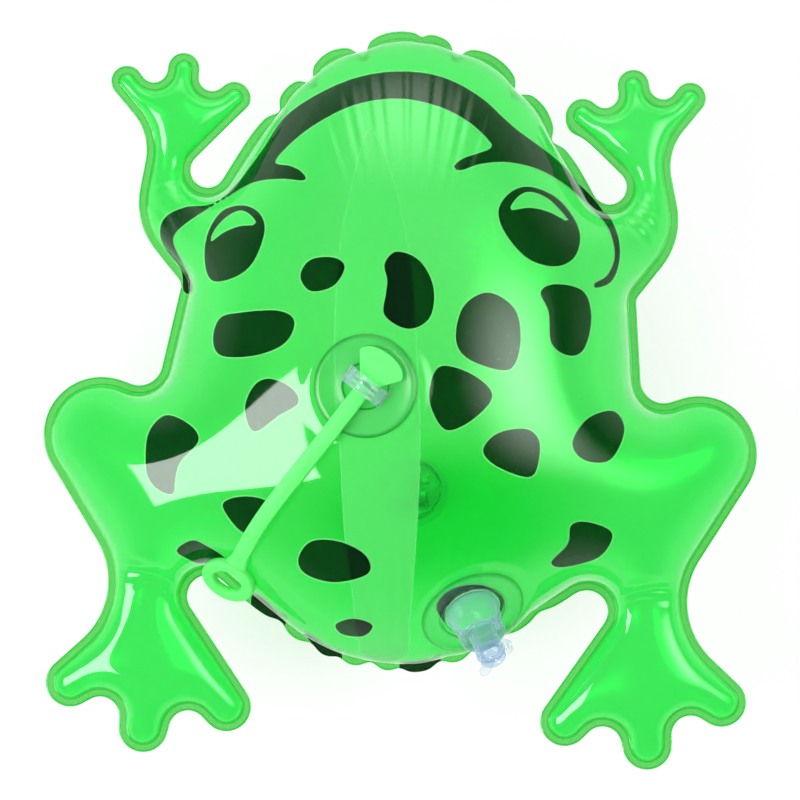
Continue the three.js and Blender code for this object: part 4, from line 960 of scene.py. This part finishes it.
TETHER_TURN, TETHER_BOW, TETHER_WIDTH, TETHER_THICKNESS = math.radians(25), 2.8, 2.8, 1.1
TETHER_FOOT, TETHER_HEIGHT, TETHER_STEPS, TETHER_ROUNDING = 5.5, 22.4, 24, 0.25
# The stem and the plug get painted lines of light on their beads, at these heights.
STEM_BEADS, PLUG_BEADS = (0.4, STEM_HEIGHT - 0.4, NECK_TOP - 0.6), (CAP_BOTTOM + CAP_HEIGHT,)
BEAD_REACH = 0.75


def tab_piece():
    bpy.ops.object.select_all(action="DESELECT")
    bpy.ops.mesh.primitive_circle_add(vertices=TAB_CORNERS, radius=TAB_WIDTH / 2, fill_type="NGON")
    tab = just_added("plug_pull_tab")
    end = CAP_RADIUS + TAB_LENGTH - TAB_WIDTH / 2
    for corner in tab.data.vertices:
        if corner.co.x < -0.01:
            corner.co.x = TAB_ROOT - end
            corner.co.y = math.copysign(TAB_ROOT_WIDTH / 2, corner.co.y)
        corner.co.x += end
    edit_all()
    bpy.ops.mesh.remove_doubles(threshold=0.01)
    bpy.ops.mesh.extrude_region_move(TRANSFORM_OT_translate={"value": (0, 0, TAB_THICKNESS)})
    face_outwards()
    round_edges(tab, TAB_ROUNDING)
    middle = CAP_BOTTOM + (CAP_HEIGHT - TAB_THICKNESS) / 2
    tab.matrix_world = Matrix.Rotation(TAB_TURN, 4, "Z") @ Matrix.Translation((0, 0, middle))
    return tab


def tether_piece():
    bpy.ops.object.select_all(action="DESELECT")
    bpy.ops.mesh.primitive_plane_add(size=1)
    tether = just_added("plug_tether_loop")
    bow = TETHER_BOW - TETHER_THICKNESS / 2
    for corner in tether.data.vertices:
        corner.co = (0, corner.co.y * TETHER_WIDTH, corner.co.x * TETHER_THICKNESS - bow)
    edit_all()
    bpy.ops.mesh.spin(steps=TETHER_STEPS, angle=math.pi, center=(0, 0, 0), axis=(0, 1, 0))
    bpy.ops.mesh.select_all(action="SELECT")
    bpy.ops.mesh.remove_doubles(threshold=MERGE_ROOM)
    face_outwards()
    round_edges(tether, TETHER_ROUNDING)
    beside_neck = Matrix.Translation((TETHER_FOOT, 0, TETHER_HEIGHT))
    tether.matrix_world = Matrix.Rotation(TETHER_TURN, 4, "Z") @ beside_neck
    return tether


valve_seat = seat_matrix(VALVE_SEAT, VALVE_SEAT_X, VALVE_AXIS)
flange = turned_piece("valve_flange_ring", [
    (STEM_HOLE, 0), (FLANGE_RADIUS, 0), (FLANGE_RADIUS, 0.4), (FLANGE_RADIUS - 0.7, 0.7),
    (FLANGE_RADIUS - 1.5, FLANGE_THICKNESS), (FLANGE_RADIUS - 2.2, FLANGE_THICKNESS),
    (FLANGE_RADIUS - 2.7, 0.85), (FLANGE_RECESS + 0.8, 0.85), (FLANGE_RECESS + 0.4, FLANGE_THICKNESS),
    (FLANGE_RECESS, FLANGE_THICKNESS), (FLANGE_RECESS - 0.5, 0.6), (STEM_HOLE, 0.6)], rounding=0.12)
stem = turned_piece("valve_stem_cone", [
    (STEM_BASE, 0), (STEM_BASE - 0.1, 1.1), (STEM_BASE - 0.15, 1.3), (STEM_TOP + 0.3, STEM_HEIGHT - 1.4),
    (STEM_TOP + 0.7, STEM_HEIGHT - 1.1), (STEM_TOP + 0.7, STEM_HEIGHT - 0.2),
    (STEM_TOP + 0.1, STEM_HEIGHT + 0.2), (STEM_TOP - STEM_WALL, STEM_HEIGHT),
    (STEM_TOP - 1.5 * STEM_WALL, 11.7), (NECK_RADIUS + 0.2, 11.5), (NECK_RADIUS, 11.8),
    (NECK_RADIUS, NECK_TOP - 1.6), (NECK_RADIUS + 0.4, NECK_TOP - 1.3), (NECK_RADIUS + 0.4, NECK_TOP),
    (NECK_BORE, NECK_TOP), (NECK_BORE, NECK_TOP - 1.3), (NECK_BORE, NECK_TOP - 1.5), (NECK_BORE, 10.6),
    (STEM_TOP - STEM_WALL, 10.6), (STEM_BASE - STEM_WALL, 0)], rounding=0.25)
plug = turned_piece("valve_plug_cap", [
    (0, CAP_BOTTOM - SHANK), (SHANK_RADIUS - 0.6, CAP_BOTTOM - SHANK),
    (SHANK_RADIUS, CAP_BOTTOM - SHANK + 1.2), (SHANK_RADIUS, CAP_BOTTOM), (CAP_RADIUS, CAP_BOTTOM),
    (CAP_RADIUS, CAP_BOTTOM + 2.5), (CAP_RADIUS - 0.7, CAP_BOTTOM + CAP_HEIGHT),
    (3.3, CAP_BOTTOM + CAP_HEIGHT), (3, CAP_BOTTOM + 2.6), (1.9, CAP_BOTTOM + 2.6),
    (1.6, CAP_BOTTOM + CAP_HEIGHT), (1.2, CAP_BOTTOM + 2.5), (0, CAP_BOTTOM + 2.5)], rounding=0.15)
mark_painted_lines(flange, steepness)
for piece, beads in ((stem, STEM_BEADS), (plug, PLUG_BEADS)):
    mark_painted_lines(piece, lambda corner: float(any(abs(corner.co.z - bead) < BEAD_REACH for bead in beads)))
tab = tab_piece()
tether = tether_piece()
for piece in (flange, stem, plug, tab, tether):
    settle(piece, valve_seat)
dress(flange, welded_vinyl, "clear_vinyl", "frog", "valve_flange")
dress(stem, clear_vinyl, "clear_vinyl", "stem", "valve_stem")
dress(plug, clear_vinyl, "clear_vinyl", "plug", "valve_plug")
dress(tab, clear_vinyl, "clear_vinyl", "plug")
dress(tether, clear_vinyl, "clear_vinyl", None, "plug_tether")
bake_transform(tether)

# Light. Inside the belly a clear dome is welded over a round board with three button cells, two lamps,
# a drop of epoxy over the chip, and a wire spring that closes the circuit when the frog is shaken.

# Its materials have a fine grain, drawn coarser than it is so that it shows. Phenolic paper, pressed into
# board, is dull and cream. Nickel-plated steel, stamped, has a soft grey shine. Epoxy, cast, is clear and
# glossy in the lamps, and an olive drop with a low gloss over the chip.
PAPER_FACE, PAPER_FLECK, PAPER_GRAIN_MM = "#FAFAE6", "#EEF0D0", 0.6
NICKEL_FACE, NICKEL_FLECK, NICKEL_GRAIN_MM = "#F2F2EC", "#E4E4DC", 0.4
LENS_FACE, LENS_FLECK, LENS_GRAIN_MM = "#FBF8E6", "#F2EED2", 1.5
OLIVE_FACE, OLIVE_FLECK, OLIVE_GRAIN_MM = "#D2C690", "#C0B47C", 0.8
GRAIN_STRENGTH, GRAIN_DEPTH = 0.1, 0.05


def grained_material(name, face, fleck, grain_mm, rough, metallic=0.0):
    material, tree = fresh_material(name)
    place = add(tree, "TexCoord").outputs["Object"]
    grain = add(tree, "TexNoise", {}, {"Vector": place, "Scale": 1 / (grain_mm * MM), "Detail": 3.0})
    tone = add(tree, "MixRGB", {}, {"Fac": grain, "Color1": colour(face), "Color2": colour(fleck)})
    bump = add(tree, "Bump", {}, {"Height": grain, "Strength": GRAIN_STRENGTH, "Distance": GRAIN_DEPTH * MM})
    body = add(tree, "BsdfPrincipled", {}, {
        "Base Color": tone, "Roughness": rough, "Metallic": metallic, "Normal": bump})
    add(tree, "OutputMaterial", {}, {"Surface": body})
    return material


paper_board = grained_material("phenolic_paper_board", PAPER_FACE, PAPER_FLECK, PAPER_GRAIN_MM, rough=0.5)
cell_steel = grained_material(
    "nickel_plated_steel", NICKEL_FACE, NICKEL_FLECK, NICKEL_GRAIN_MM, rough=0.45, metallic=1.0)
lamp_lens = grained_material("cast_lamp_epoxy", LENS_FACE, LENS_FLECK, LENS_GRAIN_MM, rough=0.15)
chip_epoxy = grained_material("olive_glob_epoxy", OLIVE_FACE, OLIVE_FLECK, OLIVE_GRAIN_MM, rough=0.4)
for node, material in (
        ("valve_flap", welded_vinyl), ("light_pocket", welded_vinyl), ("light_board", paper_board),
        ("button_cell_1", cell_steel), ("button_cell_2", cell_steel), ("button_cell_3", cell_steel),
        ("cell_contact_rear", cell_steel), ("cell_contact_front", cell_steel),
        ("led_1", lamp_lens), ("led_2", lamp_lens), ("flash_chip", chip_epoxy),
        ("shake_spring", cell_steel), ("shake_post", cell_steel)):
    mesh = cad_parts[node].data
    mesh.materials.clear()
    mesh.materials.append(material)

# Floor, light and camera. A pale studio table, soft boxes overhead, to the left, to the right and past the
# head, and a camera straight above, about 1.1 m over the weld.
CAMERA_HEIGHT = 1156.35
CAMERA_PLACE = (-0.17, 0.09)
LENS, SENSOR = 128.7, 36
CLIP_NEAR, CLIP_FAR = 50, 20000
# White laminate, pressed: dull and even. It looks white, and less so under the frog, where its shade stays.
FLOOR_SIZE, FLOOR_FACE, FLOOR_ROUGH = 6000, "#F4F4F4", 0.7
SHADE_FROM, SHADE_TO, SHADE_GLOW, FLOOR_GLOW = 50, 140, 0.4, 0.94
DOME_RISE, DOME_LOW, DOME_HIGH, DOME_FILL = 0.4, 0.8, 0.06, 0.36


def floor_material():
    material, tree = fresh_material("white_table_laminate")
    ray = add(tree, "LightPath").outputs
    seen = add(tree, "Math", {"operation": "MAXIMUM"}, {0: ray["Is Camera Ray"], 1: ray["Is Glossy Ray"]})
    seen = add(tree, "Math", {"operation": "MAXIMUM"}, {0: seen, 1: ray["Is Transmission Ray"]})
    place = add(tree, "TexCoord").outputs["Object"]
    away = add(tree, "VectorMath", {"operation": "LENGTH"}, {0: place}).outputs["Value"]
    glow = add(tree, "MapRange", {}, {
        "Value": away, "From Min": SHADE_FROM * MM, "From Max": SHADE_TO * MM,
        "To Min": SHADE_GLOW, "To Max": FLOOR_GLOW})
    share = add(tree, "Math", {"operation": "MULTIPLY"}, {0: seen, 1: glow})
    table = add(tree, "BsdfPrincipled", {}, {"Base Color": colour(FLOOR_FACE), "Roughness": FLOOR_ROUGH})
    white = add(tree, "Emission", {}, {"Color": colour(WHITE), "Strength": 1.0})
    mixed = add(tree, "MixShader", {}, {0: share, 1: table, 2: white})
    add(tree, "OutputMaterial", {}, {"Surface": mixed})
    return material


bpy.ops.object.select_all(action="DESELECT")
bpy.ops.mesh.primitive_plane_add(size=FLOOR_SIZE * MM, location=(0, 0, 0))
floor = bpy.context.object
floor.name = "studio_floor"
floor.data.materials.append(floor_material())

world = bpy.data.worlds.new("studio")
bpy.context.scene.world = world
world.use_nodes = True
tree = world.node_tree
tree.nodes.clear()
ray = add(tree, "LightPath").outputs
seen = add(tree, "Math", {"operation": "MAXIMUM"}, {0: ray["Is Camera Ray"], 1: ray["Is Transmission Ray"]})
rise = add(tree, "SeparateXYZ", {}, {0: add(tree, "TexCoord").outputs["Generated"]}).outputs["Z"]
dome = add(tree, "MapRange", {}, {
    "Value": rise, "From Min": 0.0, "From Max": DOME_RISE, "To Min": DOME_LOW, "To Max": DOME_HIGH})
fill = add(tree, "Mix", {}, {"Factor": ray["Is Glossy Ray"], "A": DOME_FILL, "B": dome})
level = add(tree, "Math", {"operation": "MAXIMUM"}, {0: seen, 1: fill})
sky = add(tree, "Background", {}, {"Color": colour(WHITE), "Strength": level})
add(tree, "OutputWorld", {}, {"Surface": sky})

# Each soft box is its name, place, width, height, power, and whether it fades towards its edges, in
# millimetres and watts. All face the frog.
SOFT_BOXES = [
    ("left_box", (-920, -270, 1080), 760, 730, 18, False),
    ("right_box", (800, 95, 1080), 1150, 1150, 26, True),
    ("head_box", (0, 1150, 640), 1700, 1350, 24, True),
    ("ceiling", (0, 0, 2600), 2000, 2000, 6, False),
]
LIT_POINT = Vector((0, 0, 60))
for name, place, width, height, power, fades in SOFT_BOXES:
    light = bpy.data.lights.new(name, "AREA")
    light.shape, light.size, light.size_y, light.energy = "RECTANGLE", width * MM, height * MM, power
    if fades:
        light.use_nodes = True
        tree = light.node_tree
        tree.nodes.clear()
        spot = add(tree, "NewGeometry").outputs["Parametric"]
        off = add(tree, "VectorMath", {"operation": "DISTANCE"}, {0: spot, 1: (0.5, 0.5, 0.0)})
        fade = add(tree, "MapRange", {"interpolation_type": "SMOOTHSTEP"}, {
            "Value": off.outputs["Value"], "From Min": 0.0, "From Max": 0.5, "To Min": 1.0, "To Max": 0.0})
        glow = add(tree, "Emission", {}, {"Color": colour(WHITE), "Strength": fade})
        add(tree, "OutputLight", {}, {"Surface": glow})
    box = bpy.data.objects.new(name, light)
    bpy.context.collection.objects.link(box)
    box.location = Vector(place) * MM
    box.rotation_euler = (LIT_POINT - Vector(place)).to_track_quat("-Z", "Y").to_euler()
    box.visible_camera = False
    box.visible_glossy = name != "ceiling"

lens = bpy.data.cameras.new("photo_camera")
lens.lens, lens.sensor_width = LENS, SENSOR
lens.clip_start, lens.clip_end = CLIP_NEAR * MM, CLIP_FAR * MM
camera = bpy.data.objects.new("photo_camera", lens)
bpy.context.collection.objects.link(camera)
camera.location = (CAMERA_PLACE[0] * MM, CAMERA_PLACE[1] * MM, CAMERA_HEIGHT * MM)
bpy.context.scene.camera = camera
bpy.context.scene.view_settings.view_transform = "Standard"
bpy.context.scene.cycles.transparent_max_bounces = 32
